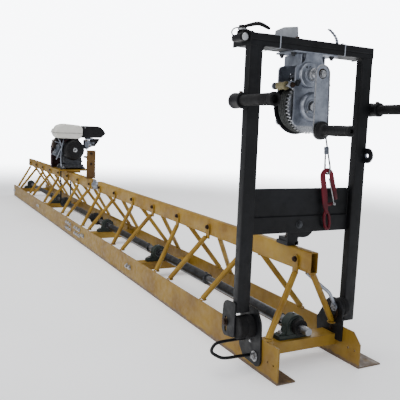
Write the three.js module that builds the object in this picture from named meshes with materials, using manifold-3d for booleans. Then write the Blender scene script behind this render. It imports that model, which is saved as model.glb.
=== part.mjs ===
// Truss power screed: two bolted truss sections on angle-iron blades, an engine-driven eccentric
// shaft between the blades, and a winch frame at the near end.
// Millimetres, +Z up, X along the truss with the winch end at +X, Y across it.
import * as THREE from "three";
import { mergeVertices } from "three/addons/utils/BufferGeometryUtils.js";
import Module from "manifold-3d";

const wasm = await Module();
wasm.setup();

// ---- driving dimensions ----
const SECTION = 2286; // length of one truss section
const WEB_Y = 155; // half distance between the blade webs
const PLATE = 5; // blade thickness
const WEB_H = 110; // blade height
const FRONT_FLANGE = 66;
const REAR_FLANGE = 94;
const CHORD_W = 28;
const CHORD_H = 66;
const CHORD_Z = 339; // middle of the top chord
const CHORD_NEAR_X = 2229; // near end of the top chord
const CHORD_FAR_X = -2271;
const CHORD_GAP = [-62, 62]; // between the two chords
const SCREW_LENGTH = 52; // of the crown screw beyond each chord's end
const SCREW_R = 9;
const BRACE_R = 10;
const BRACE_PITCH = 292;
const NEAR_LEFT_BRACE_X = 2160; // top of the first brace on each side, and
const NEAR_RIGHT_BRACE_X = 2205;
const FAR_BRACE_X = -110;
const NEAR_LEFT_SHIFT = [57, -75, -75, 75, -75, 75, -75, 75]; // how far each foot leans from its top
const NEAR_RIGHT_SHIFT = [-40, 85, -120, 75, -75, 75, -75, 75];
const FAR_SHIFT = [-75, 75, -75, 75, -75, 75, -75, 75];
const TUBE_WALL = 3; // of the chord and the posts
const SPLICE_HALF = 190; // half length of the plate that joins two blades
const BLADE_HOLE_Z = 52;
const SHAFT_Z = 120;
const SHAFT_R = 12.5;
const SHAFT_ENDS = [-2262, 2226];
const SHAFT_JOINT_X = 30; // where each shaft ends inside the coupling
const BEARING_X = [2143, 1040, 232, -1100, -2230];
const CROSS_TOP = 78;
const FRAME_X = 2150; // front face of the winch frame
const POST_W = 45;
const POST_D = 30;
const POST_LEFT_Y = -217; // outer face of the left post
const POST_RIGHT_Y = 251; // outer face of the right post
const LEFT_FOOT_Z = 182; // bottom of the left post
const RIGHT_FOOT_Z = 106;
const FRAME_TOP = 1010;
const BAR_D = 100; // depth of the top bar
const BAR_H = 35;
const LUG_TOP = 1050; // top of the sheet lug on the bar
const SOCKET_Z = 815;
const SOCKET_R = 23;
const SOCKET_X = [2120, 2170];
const LUG_Z = 665; // lug on the right post
const LEFT_MOUNT = [2144, 136, 36]; // rubber mounts: x, z and radius
const RIGHT_MOUNT = [2146, 156, 33];
const HANDLE_R = 16;
const HANDLE_LENGTH = 196;
const HANDLE_FRONT = 2327;
const WINCH_Y = 14; // drum axis
const WINCH_Z = 811;
const CRANK_Y = -4; // crank shaft axis
const CRANK_Z = 905;
const GEAR_R = 83;
const GEAR_TEETH = 45;
const GEAR_X = [2129, 2138];
const WINCH_SIDES = [[2056, 2062], [2143, 2149]]; // the two side plates
const AXLE_R = 12; // of the drum
const CRANK_SHAFT_R = 9;
const CORE_R = 30; // of the drum
const COIL_R = 79; // outside of the rope wound on the drum
const COIL_X = [2074.4, 2128.6];
const ROLLER = [-62, 872]; // rope roller: y and z
const PINION_R = 11.6;
const ARM_X = [2212, 2218];
const ARM_LENGTH = 165;
const ARM_TILT = THREE.MathUtils.degToRad(1.5);
const ROPE_Y = WINCH_Y + COIL_R + 4.5;
const ROPE_R = 3;
const HOOK_X = 2144;
const HOOK_Z = 598; // middle of the hook's bowl, which it swings about
const HOOK_TILT = THREE.MathUtils.degToRad(10);
const HOOK_T = 12; // thickness of the forging
const BOWL_OUT = 24;
const BOWL_IN = 12;
const EYE_R = 12; // bend of the rope's eye
const EYE_Z = HOOK_Z + 5.4 + EYE_R;
const THROTTLE = [2118, -226]; // x and y of its pivot
const ENGINE_X = -550; // recoil side of the engine
const ENGINE_Z = 543; // engine shaft
const PULLEY_X = -822; // belt plane
const PULLEY_TOP_R = 44;
const PULLEY_LOW_R = 40;
const GUARD_R = 114; // belt guard hoop
const DECK_TOP = 396.6; // where the guard stands on the platform
const GAP = 0.3; // clearance between touching parts
const MIDDLE_X = 32; // middle of the whole length, where the origin goes

// ---- shape helpers ----
const toSolid = (geometry) => {
  const bare = geometry.index ? geometry.toNonIndexed() : geometry.clone();
  bare.deleteAttribute("normal");
  bare.deleteAttribute("uv");
  const merged = mergeVertices(bare, 1e-4);
  const mesh = new wasm.Mesh({
    numProp: 3,
    vertProperties: new Float32Array(merged.attributes.position.array),
    triVerts: new Uint32Array(merged.index.array),
  });
  return new wasm.Manifold(mesh);
};

const toGeometry = (solid) => {
  const mesh = solid.getMesh();
  const geometry = new THREE.BufferGeometry();
  geometry.setAttribute("position", new THREE.BufferAttribute(new Float32Array(mesh.vertProperties), 3));
  geometry.setIndex(new THREE.BufferAttribute(new Uint32Array(mesh.triVerts), 1));
  geometry.computeVertexNormals();
  return geometry;
};

const join = (...geometries) => {
  const solids = geometries.flat().map(toSolid);
  return toGeometry(solids.reduce((sum, next) => sum.add(next)));
};

const cut = (body, ...tools) => {
  const solids = tools.flat().map(toSolid);
  return toGeometry(solids.reduce((rest, tool) => rest.subtract(tool), toSolid(body)));
};

// a block between two corners
const block = (x0, x1, y0, y1, z0, z1) =>
  new THREE.BoxGeometry(x1 - x0, y1 - y0, z1 - z0)
    .translate((x0 + x1) / 2, (y0 + y1) / 2, (z0 + z1) / 2);

// round bars along each axis
const roundX = (x0, x1, y, z, radius, sides = 14) =>
  new THREE.CylinderGeometry(radius, radius, x1 - x0, sides)
    .rotateZ(-Math.PI / 2)
    .translate((x0 + x1) / 2, y, z);

const roundY = (x, y0, y1, z, radius, sides = 14) =>
  new THREE.CylinderGeometry(radius, radius, y1 - y0, sides).translate(x, (y0 + y1) / 2, z);

const roundZ = (x, y, z0, z1, radius, sides = 14) =>
  new THREE.CylinderGeometry(radius, radius, z1 - z0, sides)
    .rotateX(Math.PI / 2)
    .translate(x, y, (z0 + z1) / 2);

// a straight round bar between two points
const bar = (from, to, radius, sides = 8) => {
  const a = new THREE.Vector3(...from);
  const b = new THREE.Vector3(...to);
  const along = b.clone().sub(a);
  const turn = new THREE.Quaternion().setFromUnitVectors(
    new THREE.Vector3(0, 1, 0),
    along.clone().normalize(),
  );
  const middle = a.add(b).multiplyScalar(0.5);
  return new THREE.CylinderGeometry(radius, radius, along.length(), sides)
    .applyQuaternion(turn)
    .translate(middle.x, middle.y, middle.z);
};

// an outline in the YZ plane, extruded from x0 to x1
const plateX = (points, x0, x1) => {
  const outline = points instanceof THREE.Shape
    ? points
    : new THREE.Shape(points.map(([y, z]) => new THREE.Vector2(y, z)));
  return new THREE.ExtrudeGeometry(outline, { depth: x1 - x0, bevelEnabled: false, curveSegments: 4 })
    .applyMatrix4(new THREE.Matrix4().makeBasis(
      new THREE.Vector3(0, 1, 0),
      new THREE.Vector3(0, 0, 1),
      new THREE.Vector3(1, 0, 0),
    ))
    .translate(x0, 0, 0);
};

// an outline in the XZ plane, extruded from y0 to y1
const plateY = (points, y0, y1) => {
  const outline = points instanceof THREE.Shape
    ? points
    : new THREE.Shape(points.map(([x, z]) => new THREE.Vector2(x, z)));
  return new THREE.ExtrudeGeometry(outline, { depth: y1 - y0, bevelEnabled: false, curveSegments: 4 })
    .rotateX(Math.PI / 2)
    .translate(0, y1, 0);
};

// a tube or rod that follows a smooth curve
const sweep = (points, radius, sides, steps) => {
  const path = new THREE.CatmullRomCurve3(points.map((point) => new THREE.Vector3(...point)));
  const section = new THREE.Shape();
  for (let i = 0; i < sides; i += 1) {
    const angle = (2 * Math.PI * i) / sides;
    const place = [radius * Math.cos(angle), radius * Math.sin(angle)];
    if (i === 0) section.moveTo(...place);
    else section.lineTo(...place);
  }
  return new THREE.ExtrudeGeometry(section, { steps, bevelEnabled: false, extrudePath: path });
};

// a closed profile of [radius, x] pairs turned round a line along X
const turnedX = (profile, y, z, sides = 16) =>
  new THREE.LatheGeometry(profile.map(([radius, x]) => new THREE.Vector2(radius, x)), sides)
    .rotateZ(-Math.PI / 2)
    .translate(0, y, z);

const roundedRect = (u0, u1, v0, v1, radius) => {
  const shape = new THREE.Shape();
  shape.moveTo(u0 + radius, v0);
  shape.lineTo(u1 - radius, v0);
  shape.absarc(u1 - radius, v0 + radius, radius, -Math.PI / 2, 0);
  shape.lineTo(u1, v1 - radius);
  shape.absarc(u1 - radius, v1 - radius, radius, 0, Math.PI / 2);
  shape.lineTo(u0 + radius, v1);
  shape.absarc(u0 + radius, v1 - radius, radius, Math.PI / 2, Math.PI);
  shape.lineTo(u0, v0 + radius);
  shape.absarc(u0 + radius, v0 + radius, radius, Math.PI, 1.5 * Math.PI);
  return shape;
};

// ---- materials ----
const paint = { color: 0x987530, roughness: 0.55, metalness: 0.1 };
const black = { color: 0x191b1e, roughness: 0.45, metalness: 0.2 };
const zinc = { color: 0x9a9da5, roughness: 0.35, metalness: 0.8 };
const steel = { color: 0x4a4c50, roughness: 0.4, metalness: 0.7 };
const rubber = { color: 0x141414, roughness: 0.85, metalness: 0 };
const plastic = { color: 0x1a1a1c, roughness: 0.5, metalness: 0 };
const alloy = { color: 0x8f9296, roughness: 0.5, metalness: 0.6 };
const tankPaint = { color: 0xd7d5cd, roughness: 0.4, metalness: 0 };
const castIron = { color: 0x3c4a44, roughness: 0.6, metalness: 0.4 };
const hookRed = { color: 0x8a1426, roughness: 0.4, metalness: 0.2 };
const ropeSteel = { color: 0x777a7c, roughness: 0.5, metalness: 0.7 };

const screed = new THREE.Group();
screed.position.x = -MIDDLE_X;

const add = (name, geometry, finish) => {
  const mesh = new THREE.Mesh(geometry, new THREE.MeshStandardMaterial(finish));
  mesh.name = name;
  screed.add(mesh);
};

// ---- truss sections: a rectangular top chord with round braces welded to it ----
const chordTube = (x0, x1, hollow) => {
  const half = CHORD_W / 2;
  const low = CHORD_Z - CHORD_H / 2;
  const high = CHORD_Z + CHORD_H / 2;
  return cut(
    block(x0, x1, -half, half, low, high),
    block(...hollow, -half + TUBE_WALL, half - TUBE_WALL, low + TUBE_WALL, high - TUBE_WALL),
  );
};

// braces lean out from the chord to the top edge of each blade
const braceSet = (firstX, shifts, side) => {
  const top = [CHORD_Z - 14, side * (CHORD_W / 2 + 4)];
  const foot = [WEB_H + 8, side * (WEB_Y - 10)];
  return shifts.map((shift, i) => {
    const x = firstX - i * BRACE_PITCH;
    return bar([x, top[1], top[0]], [x + shift, foot[1], foot[0]], BRACE_R);
  });
};

const screwEnd = (chordEnd, inward) => {
  const tip = chordEnd + inward * SCREW_LENGTH;
  const plug = [chordEnd - inward * 12, chordEnd + inward * 4];
  return [
    block(Math.min(...plug), Math.max(...plug), -13, 13, CHORD_Z - 31, CHORD_Z + 31),
    roundX(Math.min(chordEnd, tip), Math.max(chordEnd, tip), 0, CHORD_Z, SCREW_R, 10),
  ];
};

add("near_truss", join(
  chordTube(CHORD_GAP[1], CHORD_NEAR_X, [CHORD_NEAR_X - 400, CHORD_NEAR_X + 1]),
  braceSet(NEAR_LEFT_BRACE_X, NEAR_LEFT_SHIFT, -1),
  braceSet(NEAR_RIGHT_BRACE_X, NEAR_RIGHT_SHIFT, 1),
  screwEnd(CHORD_GAP[1], -1),
), paint);

// a gusset plate hangs below the far chord
add("far_truss", join(
  plateX([[-34, 310], [34, 310], [12, 212], [-12, 208]], -1712, -1706),
  chordTube(CHORD_FAR_X, CHORD_GAP[0], [CHORD_FAR_X - 1, CHORD_FAR_X + 400]),
  braceSet(FAR_BRACE_X, FAR_SHIFT, -1),
  braceSet(FAR_BRACE_X, FAR_SHIFT, 1),
  screwEnd(CHORD_GAP[0], 1),
), paint);

// the turnbuckle sets the crown of the blades
const turnMiddle = (CHORD_GAP[0] + CHORD_GAP[1]) / 2;
add("turnbuckle", cut(
  join(
    roundX(turnMiddle - 50, turnMiddle + 50, 0, CHORD_Z, 17, 6),
    roundX(turnMiddle - 18, turnMiddle + 18, 0, CHORD_Z, 24, 14),
  ),
  roundX(turnMiddle - 60, turnMiddle + 60, 0, CHORD_Z, 9.6, 10),
), zinc);

// ---- blades: angle iron, both flanges to the rear ----
const blade = (x0, x1, webOuter, flange, clipNear) => {
  const profile = [
    [webOuter, 0],
    [webOuter + flange, 0],
    [webOuter + flange, PLATE],
    [webOuter + PLATE, PLATE],
    [webOuter + PLATE, WEB_H],
    [webOuter, WEB_H],
  ];
  const body = plateX(profile, x0, x1);
  if (x1 < SECTION) return body;
  const across = [webOuter - 2, webOuter + PLATE + 4];
  const holes = [52, 22].map((back) => roundY(x1 - back, ...across, BLADE_HOLE_Z, 4, 10));
  if (!clipNear) return cut(body, holes);
  const clip = plateY([[x1 - 34, WEB_H + 1], [x1 + 1, WEB_H + 1], [x1 + 1, WEB_H - 34]], ...across);
  return cut(body, clip, holes);
};

const frontWeb = -WEB_Y;
const rearWeb = WEB_Y;
add("front_blade_near", blade(0.5, SECTION, frontWeb, FRONT_FLANGE, false), paint);
add("rear_blade_near", blade(0.5, SECTION, rearWeb, REAR_FLANGE, true), paint);

// each far blade carries the splice plate that bolts inside the joint
const splice = (y0, y1) => plateY(roundedRect(-SPLICE_HALF, SPLICE_HALF, 22, 98, 6), y0, y1);
const splicePad = (y0, y1) => block(-SPLICE_HALF, -0.5, y0, y1, 28, 92);
add("front_blade_far", join(
  blade(-SECTION, -0.5, frontWeb, FRONT_FLANGE, false),
  splice(frontWeb + PLATE + GAP, frontWeb + PLATE + 8),
  splicePad(frontWeb + PLATE - 1, frontWeb + PLATE + 4),
), paint);
add("rear_blade_far", join(
  blade(-SECTION, -0.5, rearWeb, REAR_FLANGE, false),
  splice(rearWeb - 8, rearWeb - GAP),
  splicePad(rearWeb - 4, rearWeb + 1),
), paint);

// ---- cross members under each bearing ----
const crossMember = (x) => {
  const [y0, y1] = [frontWeb + PLATE + GAP, rearWeb - GAP];
  return join(
    block(x - 32, x + 32, y0, y1, CROSS_TOP - 6, CROSS_TOP),
    block(x + 26, x + 32, y0, y1, CROSS_TOP - 36, CROSS_TOP),
    block(x - 32, x - 26, y0, y1, CROSS_TOP - 36, CROSS_TOP),
  );
};

// cast bearing housing with a domed body, a base and two bolt heads
const pillowBlock = (x) => {
  const base = CROSS_TOP + GAP;
  return cut(
    join(
      block(x - 19, x + 19, -66, 66, base, base + 15),
      roundX(x - 17, x + 17, 0, SHAFT_Z, 35, 14),
      block(x - 17, x + 17, -30, 30, base, SHAFT_Z),
      roundX(x - 22, x + 22, 0, SHAFT_Z, 24, 14),
      [-50, 50].map((y) => roundZ(x, y, base + 10, base + 26, 10, 6)),
    ),
    roundX(x - 40, x + 40, 0, SHAFT_Z, SHAFT_R + 0.6, 14),
  );
};

BEARING_X.forEach((x, i) => {
  add(`cross_member_${i + 1}`, crossMember(x), paint);
  add(`pillow_block_${i + 1}`, pillowBlock(x), castIron);
});

// ---- eccentric shafts ----
const weight = (x0, x1, radius, offset) => roundX(x0, x1, 0, SHAFT_Z - offset, radius, 14);
add("near_eccentric_shaft", join(
  roundX(SHAFT_JOINT_X, SHAFT_ENDS[1], 0, SHAFT_Z, SHAFT_R, 14),
  weight(2165.6, 2187, 26, 0),
  weight(1650, 2080, 19, 3),
  weight(1330, 1560, 23, 4),
  weight(1120, 1300, 19, 3),
  weight(320, 930, 19, 3),
), steel);
add("far_eccentric_shaft", join(
  roundX(SHAFT_ENDS[0], -SHAFT_JOINT_X, 0, SHAFT_Z, SHAFT_R, 14),
  weight(-700, -150, 19, 3),
  weight(-2050, -1250, 19, 3),
), steel);
add("shaft_coupling", cut(
  join(roundX(-70, 70, 0, SHAFT_Z, 27, 14), roundX(-24, 24, 0, SHAFT_Z, 38, 14)),
  roundX(-71, GAP - SHAFT_JOINT_X, 0, SHAFT_Z, SHAFT_R + GAP, 14),
  roundX(SHAFT_JOINT_X - GAP, 71, 0, SHAFT_Z, SHAFT_R + GAP, 14),
), rubber);

const pulley = (radius, x, y, z, bore) => turnedX([
  [bore, x - 15],
  [radius, x - 15],
  [radius, x - 9],
  [radius - 9, x - 4],
  [radius - 9, x + 4],
  [radius, x + 9],
  [radius, x + 15],
  [bore, x + 15],
  [bore, x - 15],
], y, z, 18);
add("shaft_pulley", pulley(PULLEY_LOW_R, PULLEY_X, 0, SHAFT_Z, SHAFT_R + GAP), steel);

// ---- engine ----
const engineCrankcase = () => cut(
  join(
    block(ENGINE_X - 195, ENGINE_X - 62, -62, 62, 432, 590),
    roundX(ENGINE_X - 210, ENGINE_X - 190, 0, ENGINE_Z, 50, 14),
    block(ENGINE_X - 200, ENGINE_X - 50, -80, 80, 404, 434),
    [-1, 1].map((side) => block(ENGINE_X - 218, ENGINE_X - 30, side * 76 - 12, side * 76 + 12, 400, 410)),
    roundX(ENGINE_X - 245, ENGINE_X - 200, 0, ENGINE_Z, 22, 14),
  ),
  roundX(ENGINE_X - 300, ENGINE_X - 170, 0, ENGINE_Z, 10.4, 14),
);
add("engine_crankcase", engineCrankcase(), alloy);

// the finned cylinder leans out to the front
const cylinderHead = () => {
  const parts = [block(-42, 42, -38, 38, -4, 50)];
  for (let i = 0; i < 5; i += 1) parts.push(block(-54, 54, -48, 48, 5 + i * 9, 10 + i * 9));
  parts.push(roundZ(0, 0, 44, 72, 9, 8));
  return parts.map((part) => part
    .rotateX(THREE.MathUtils.degToRad(62))
    .translate(ENGINE_X - 128, -66, 520));
};
add("engine_cylinder", cut(join(cylinderHead()), engineCrankcase()), alloy);

add("recoil_cover", cut(
  turnedX([
    [0, ENGINE_X - 16],
    [58, ENGINE_X - 16],
    [68, ENGINE_X - 26],
    [72, ENGINE_X - 60],
    [80, ENGINE_X - 60],
    [74, ENGINE_X - 22],
    [62, ENGINE_X - 8],
    [26, ENGINE_X - 5],
    [22, ENGINE_X],
    [0, ENGINE_X],
  ], 0, ENGINE_Z, 14),
  block(ENGINE_X - 50, ENGINE_X - 30, 40, 90, ENGINE_Z - 64, ENGINE_Z - 40),
), plastic);

add("recoil_grip", join(
  roundY(ENGINE_X - 40, 70, 84, ENGINE_Z - 52, 4, 8),
  block(ENGINE_X - 66, ENGINE_X - 14, 82, 98, ENGINE_Z - 60, ENGINE_Z - 44),
), plastic);

const tankShape = (crown) => {
  const shape = new THREE.Shape();
  shape.moveTo(-120, 624);
  shape.lineTo(40, 624);
  shape.quadraticCurveTo(58, 628, 60, 664);
  shape.quadraticCurveTo(60, crown - 14, 36, crown - 6);
  shape.lineTo(-96, crown);
  shape.quadraticCurveTo(-146, crown - 6, -150, 672);
  shape.quadraticCurveTo(-148, 632, -120, 624);
  return shape;
};
add("fuel_tank", join(
  plateX(tankShape(712), ENGINE_X - 150, ENGINE_X - 72),
  plateX(tankShape(734), ENGINE_X - 78, ENGINE_X - 8),
  plateX(roundedRect(-154, 61.5, 664, 670, 2), ENGINE_X - 154, ENGINE_X - 4),
  roundZ(ENGINE_X - 110, -60, 700, 716, 20, 14),
), tankPaint);
add("fuel_cap", cut(
  roundZ(ENGINE_X - 110, -60, 706, 732, 29, 14),
  roundZ(ENGINE_X - 110, -60, 700, 716 + GAP, 20.8, 14),
  block(ENGINE_X - 150, ENGINE_X - 70, -100, -20, 700, 713),
), plastic);

const airBox = [
  [66, 632],
  [206, 636],
  [238, 668],
  [226, 692],
  [198, 716],
  [180, 722],
  [70, 722],
  [62, 706],
];
add("air_cleaner", plateX(airBox, ENGINE_X - 128, ENGINE_X - 22), plastic);
add("carburettor", join(
  block(ENGINE_X - 100, ENGINE_X - 45, 84, 124, 562, 622),
  roundY(ENGINE_X - 72, 84, 160, 600, 19, 14),
  roundZ(ENGINE_X - 72, 104, 548, 570, 21, 14),
  block(ENGINE_X - 104, ENGINE_X - 40, 96, 150, 618, 632.3),
), alloy);
add("choke_lever", join(
  roundX(ENGINE_X - 44.5, ENGINE_X - 36, 136, 608, 8, 10),
  block(ENGINE_X - 42, ENGINE_X - 38, 134, 172, 604, 611),
), plastic);
add("muffler", join(
  plateX(roundedRect(-150, -92, 548, 612, 10), ENGINE_X - 222, ENGINE_X - 200),
  roundX(ENGINE_X - 244, ENGINE_X - 221, -121, 580, 14, 14),
  block(ENGINE_X - 201, ENGINE_X - 196, -140, -100, 560, 600),
), steel);

add("engine_pulley", join(
  pulley(PULLEY_TOP_R, PULLEY_X, 0, ENGINE_Z, 9),
  roundX(PULLEY_X - 16, ENGINE_X - 172, 0, ENGINE_Z, 10, 14),
), steel);

// one V-belt round both pulleys, with a run on either side of the chord
const beltLoop = (topR, lowR) => {
  const shape = new THREE.Shape();
  shape.absarc(0, ENGINE_Z, topR, 0, Math.PI);
  shape.absarc(0, SHAFT_Z, lowR, Math.PI, 2 * Math.PI);
  return shape;
};
const beltGeometry = () => {
  const outer = beltLoop(PULLEY_TOP_R + 2, PULLEY_LOW_R + 2);
  outer.holes.push(beltLoop(PULLEY_TOP_R - 7.5, PULLEY_LOW_R - 7.5));
  const geometry = new THREE.ExtrudeGeometry(outer, { depth: 8, bevelEnabled: false, curveSegments: 8 });
  return geometry
    .applyMatrix4(new THREE.Matrix4().makeBasis(
      new THREE.Vector3(0, 1, 0),
      new THREE.Vector3(0, 0, 1),
      new THREE.Vector3(1, 0, 0),
    ))
    .translate(PULLEY_X - 4, 0, 0);
};
const pulleyRing = (radius, z) => turnedX([
  [0, PULLEY_X - 16],
  [radius + GAP, PULLEY_X - 16],
  [radius + GAP, PULLEY_X - 8.5],
  [radius - 8.4, PULLEY_X - 3.6],
  [radius - 8.4, PULLEY_X + 3.6],
  [radius + GAP, PULLEY_X + 8.5],
  [radius + GAP, PULLEY_X + 16],
  [0, PULLEY_X + 16],
], 0, z, 18);
add("drive_belt", cut(
  beltGeometry(),
  pulleyRing(PULLEY_TOP_R, ENGINE_Z),
  pulleyRing(PULLEY_LOW_R, SHAFT_Z),
), rubber);

// tall hoop guard over the upper pulley, open below
const hoop = (radius) => {
  const shape = new THREE.Shape();
  shape.absarc(0, ENGINE_Z, radius, 0, Math.PI);
  shape.lineTo(-radius, DECK_TOP);
  shape.lineTo(radius, DECK_TOP);
  return shape;
};
const hoopWall = () => cut(
  plateX(hoop(GUARD_R), PULLEY_X - 26, PULLEY_X + 26),
  plateX(hoop(GUARD_R - 3), PULLEY_X - 27, PULLEY_X + 27),
);
add("belt_guard", join(
  hoopWall(),
  plateX(hoop(GUARD_R), PULLEY_X - 29, PULLEY_X - 26),
  [-1, 1].map((side) => block(
    PULLEY_X - 29,
    PULLEY_X + 26,
    side * (GUARD_R - 8) - 10,
    side * (GUARD_R - 8) + 10,
    DECK_TOP,
    DECK_TOP + 4,
  )),
), plastic);

// a plate on two saddles carries the engine over the chord
const deckLow = CHORD_Z + CHORD_H / 2 + GAP;
add("engine_platform", join(
  block(PULLEY_X - 32, ENGINE_X - 18, -118, -56, 388, 396.3),
  block(PULLEY_X - 32, ENGINE_X - 18, 56, 118, 388, 396.3),
  block(ENGINE_X - 225, ENGINE_X - 18, -105, 105, 388, 396.3),
  [ENGINE_X - 200, ENGINE_X - 60].map((x) => block(x - 20, x + 20, -52, 52, deckLow, 389)),
  [-1, 1].map((side) => block(ENGINE_X - 220, ENGINE_X - 28, side * 76 - 14, side * 76 + 14, 396, 399.7)),
), paint);
add("engine_post", join(
  block(-148, -142, -30, 30, deckLow, 562),
  block(-190, -142, -30, 30, deckLow, deckLow + 6),
  block(-190, -142, 24, 30, deckLow, 470),
), paint);

// ---- winch frame ----
const openTube = (x0, x1, y0, y1, z0, z1) => cut(
  block(x0, x1, y0, y1, z0, z1),
  block(x0 + TUBE_WALL, x1 - TUBE_WALL, y0 + TUBE_WALL, y1 - TUBE_WALL, z0 - 1, z0 + 120),
);
const postX = [FRAME_X - POST_D, FRAME_X];
const underBar = FRAME_TOP - BAR_H - GAP;
const handleY = [POST_LEFT_Y - SOCKET_R - 3, POST_RIGHT_Y + SOCKET_R + 3];
const socket = (y) => roundX(...SOCKET_X, y, SOCKET_Z, SOCKET_R, 14);
const socketWeb = (y0, y1) => block(postX[0] + 4, postX[1] - 4, y0, y1, SOCKET_Z - 14, SOCKET_Z + 14);
const socketBore = (y) => roundX(SOCKET_X[0] - 1, SOCKET_X[1] + 1, y, SOCKET_Z, HANDLE_R + 0.6, 14);

add("left_post", cut(
  join(
    openTube(...postX, POST_LEFT_Y, POST_LEFT_Y + POST_W, LEFT_FOOT_Z, underBar),
    socket(handleY[0]),
    socketWeb(POST_LEFT_Y - 6, POST_LEFT_Y + 1),
  ),
  socketBore(handleY[0]),
), black);

const lugShape = new THREE.Shape();
lugShape.moveTo(FRAME_X - 2, LUG_Z - 25);
lugShape.lineTo(FRAME_X + 8, LUG_Z - 25);
lugShape.absarc(FRAME_X + 8, LUG_Z, 25, -Math.PI / 2, Math.PI / 2);
lugShape.lineTo(FRAME_X - 2, LUG_Z + 25);
const lug = cut(
  plateY(lugShape, POST_RIGHT_Y - 8, POST_RIGHT_Y),
  roundY(FRAME_X + 12, POST_RIGHT_Y - 10, POST_RIGHT_Y + 2, LUG_Z, 9, 14),
);
add("right_post", cut(
  join(
    openTube(...postX, POST_RIGHT_Y - POST_W, POST_RIGHT_Y, RIGHT_FOOT_Z, underBar),
    socket(handleY[1]),
    socketWeb(POST_RIGHT_Y - 1, POST_RIGHT_Y + 6),
    lug,
  ),
  socketBore(handleY[1]),
), black);

// an inverted channel: open underneath behind the front lip
add("top_bar", join(
  cut(
    block(FRAME_X - BAR_D, FRAME_X, POST_LEFT_Y, POST_RIGHT_Y, FRAME_TOP - BAR_H, FRAME_TOP),
    block(FRAME_X - BAR_D - 1, FRAME_X - BAR_D + 20, POST_LEFT_Y + 4, POST_RIGHT_Y - 4, 979, 1006),
  ),
  // a bent sheet lug stands on the bar beside the throttle
  plateX([[-114, FRAME_TOP - 2], [-26, FRAME_TOP - 2], [-30, LUG_TOP], [-92, LUG_TOP - 24]], 2116, 2118),
), black);
const innerLeft = POST_LEFT_Y + POST_W + GAP;
const innerRight = POST_RIGHT_Y - POST_W - GAP;
const backX = postX[0];
add("cross_plate", join(
  block(backX, backX + 8, innerLeft, innerRight, 466, 557),
  block(backX, backX + 12, innerLeft, innerRight, 417, 470),
  roundX(backX, backX + 22, 9, 442, 9, 6),
), black);

// the saddle that ties the plate down to the chord
const gusset = [
  [-24, deckLow],
  [4, deckLow],
  [9, 389],
  [20, 398],
  [48, 396],
  [64, 403],
  [77, 419],
  [77, 446],
  [-20, 446],
  [-24, 424],
];
add("chord_mount", join(
  block(2056, 2119, -24, 24, deckLow, deckLow + 12),
  block(2062, 2119, -20, 20, deckLow, deckLow + 24),
  plateX(gusset, 2112, 2119.7),
), black);

// ---- brackets that hang the frame on the blades through rubber mounts ----
const outerPlateShape = [[2074, 194], [2088, 208], [2146, 214], [2146, 104], [2084, 94], [2070, 112]];
const outerPlate = () => cut(
  plateY(outerPlateShape, -223, -217.3),
  plateY(roundedRect(2089, 2100, 108, 158, 5), -226, -215),
);
const innerPlate = () => {
  const shape = new THREE.Shape();
  shape.moveTo(2078, 196);
  shape.lineTo(2170, 196);
  shape.lineTo(2196, 160);
  shape.lineTo(2204, 52);
  shape.quadraticCurveTo(2202, 24, 2178, 18);
  shape.lineTo(2108, 22);
  shape.lineTo(2078, 56);
  return plateY(shape, -161.3, -155.3);
};
const bolt = (x, z, y0, y1) => roundY(x, y0, y1, z, 8.5, 6);
add("left_outer_bracket", join(
  outerPlate(),
  bolt(2094.5, 140, -232, -222),
  roundY(2094.5, -217.5, -214, 140, 11, 10),
), black);
const loopPath = [
  [2104, -158.5, 80],
  [2111, -200, 84],
  [2121, -262, 86],
  [2129, -284, 79],
  [2142, -294.7, 70],
  [2155, -284, 61],
  [2163, -262, 54],
  [2151, -200, 46],
  [2142, -158.5, 41],
];
add("left_inner_bracket", join(
  innerPlate(),
  sweep(loopPath, 5, 8, 18),
  bolt(2172, 48, -172, -160),
), black);

const rightPlate = () => {
  const shape = new THREE.Shape();
  shape.moveTo(2078, 60);
  shape.lineTo(2206, 60);
  shape.lineTo(2206, 140);
  shape.absarc(2158, 151, 46, -0.2, Math.PI - 0.35);
  shape.lineTo(2078, 108);
  return plateY(shape, 160.3, 166);
};
add("right_bracket", join(
  rightPlate(),
  bolt(2190, 84, 165, 176),
  bolt(2090, 84, 165, 176),
  roundY(2158, 150, 161, 151, 12, 14),
), black);
const mountPost = (y0, y1, [x, z, radius]) => roundY(x, y0, y1, z, radius, 14);
add("left_rubber_mount", mountPost(-217, -161.6, LEFT_MOUNT), rubber);
add("right_rubber_mount", mountPost(166.3, 205.7, RIGHT_MOUNT), rubber);
add("right_stay", join(
  bar([2176, 15, 296], [2176, 118, 216], 6),
  bar([2176, 118, 216], [2170, 146, 178], 6),
  roundY(2166, 143, 149.7, 168, 15, 14),
), zinc);

// ---- lifting handles that slide in the sockets ----
const handle = (y) => join(
  roundX(HANDLE_FRONT - HANDLE_LENGTH, HANDLE_FRONT, y, SOCKET_Z, HANDLE_R, 14),
  roundX(HANDLE_FRONT - 16, HANDLE_FRONT, y, SOCKET_Z, HANDLE_R + 3, 14),
);
add("left_handle", handle(handleY[0]), rubber);
add("right_handle", handle(handleY[1]), rubber);

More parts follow.
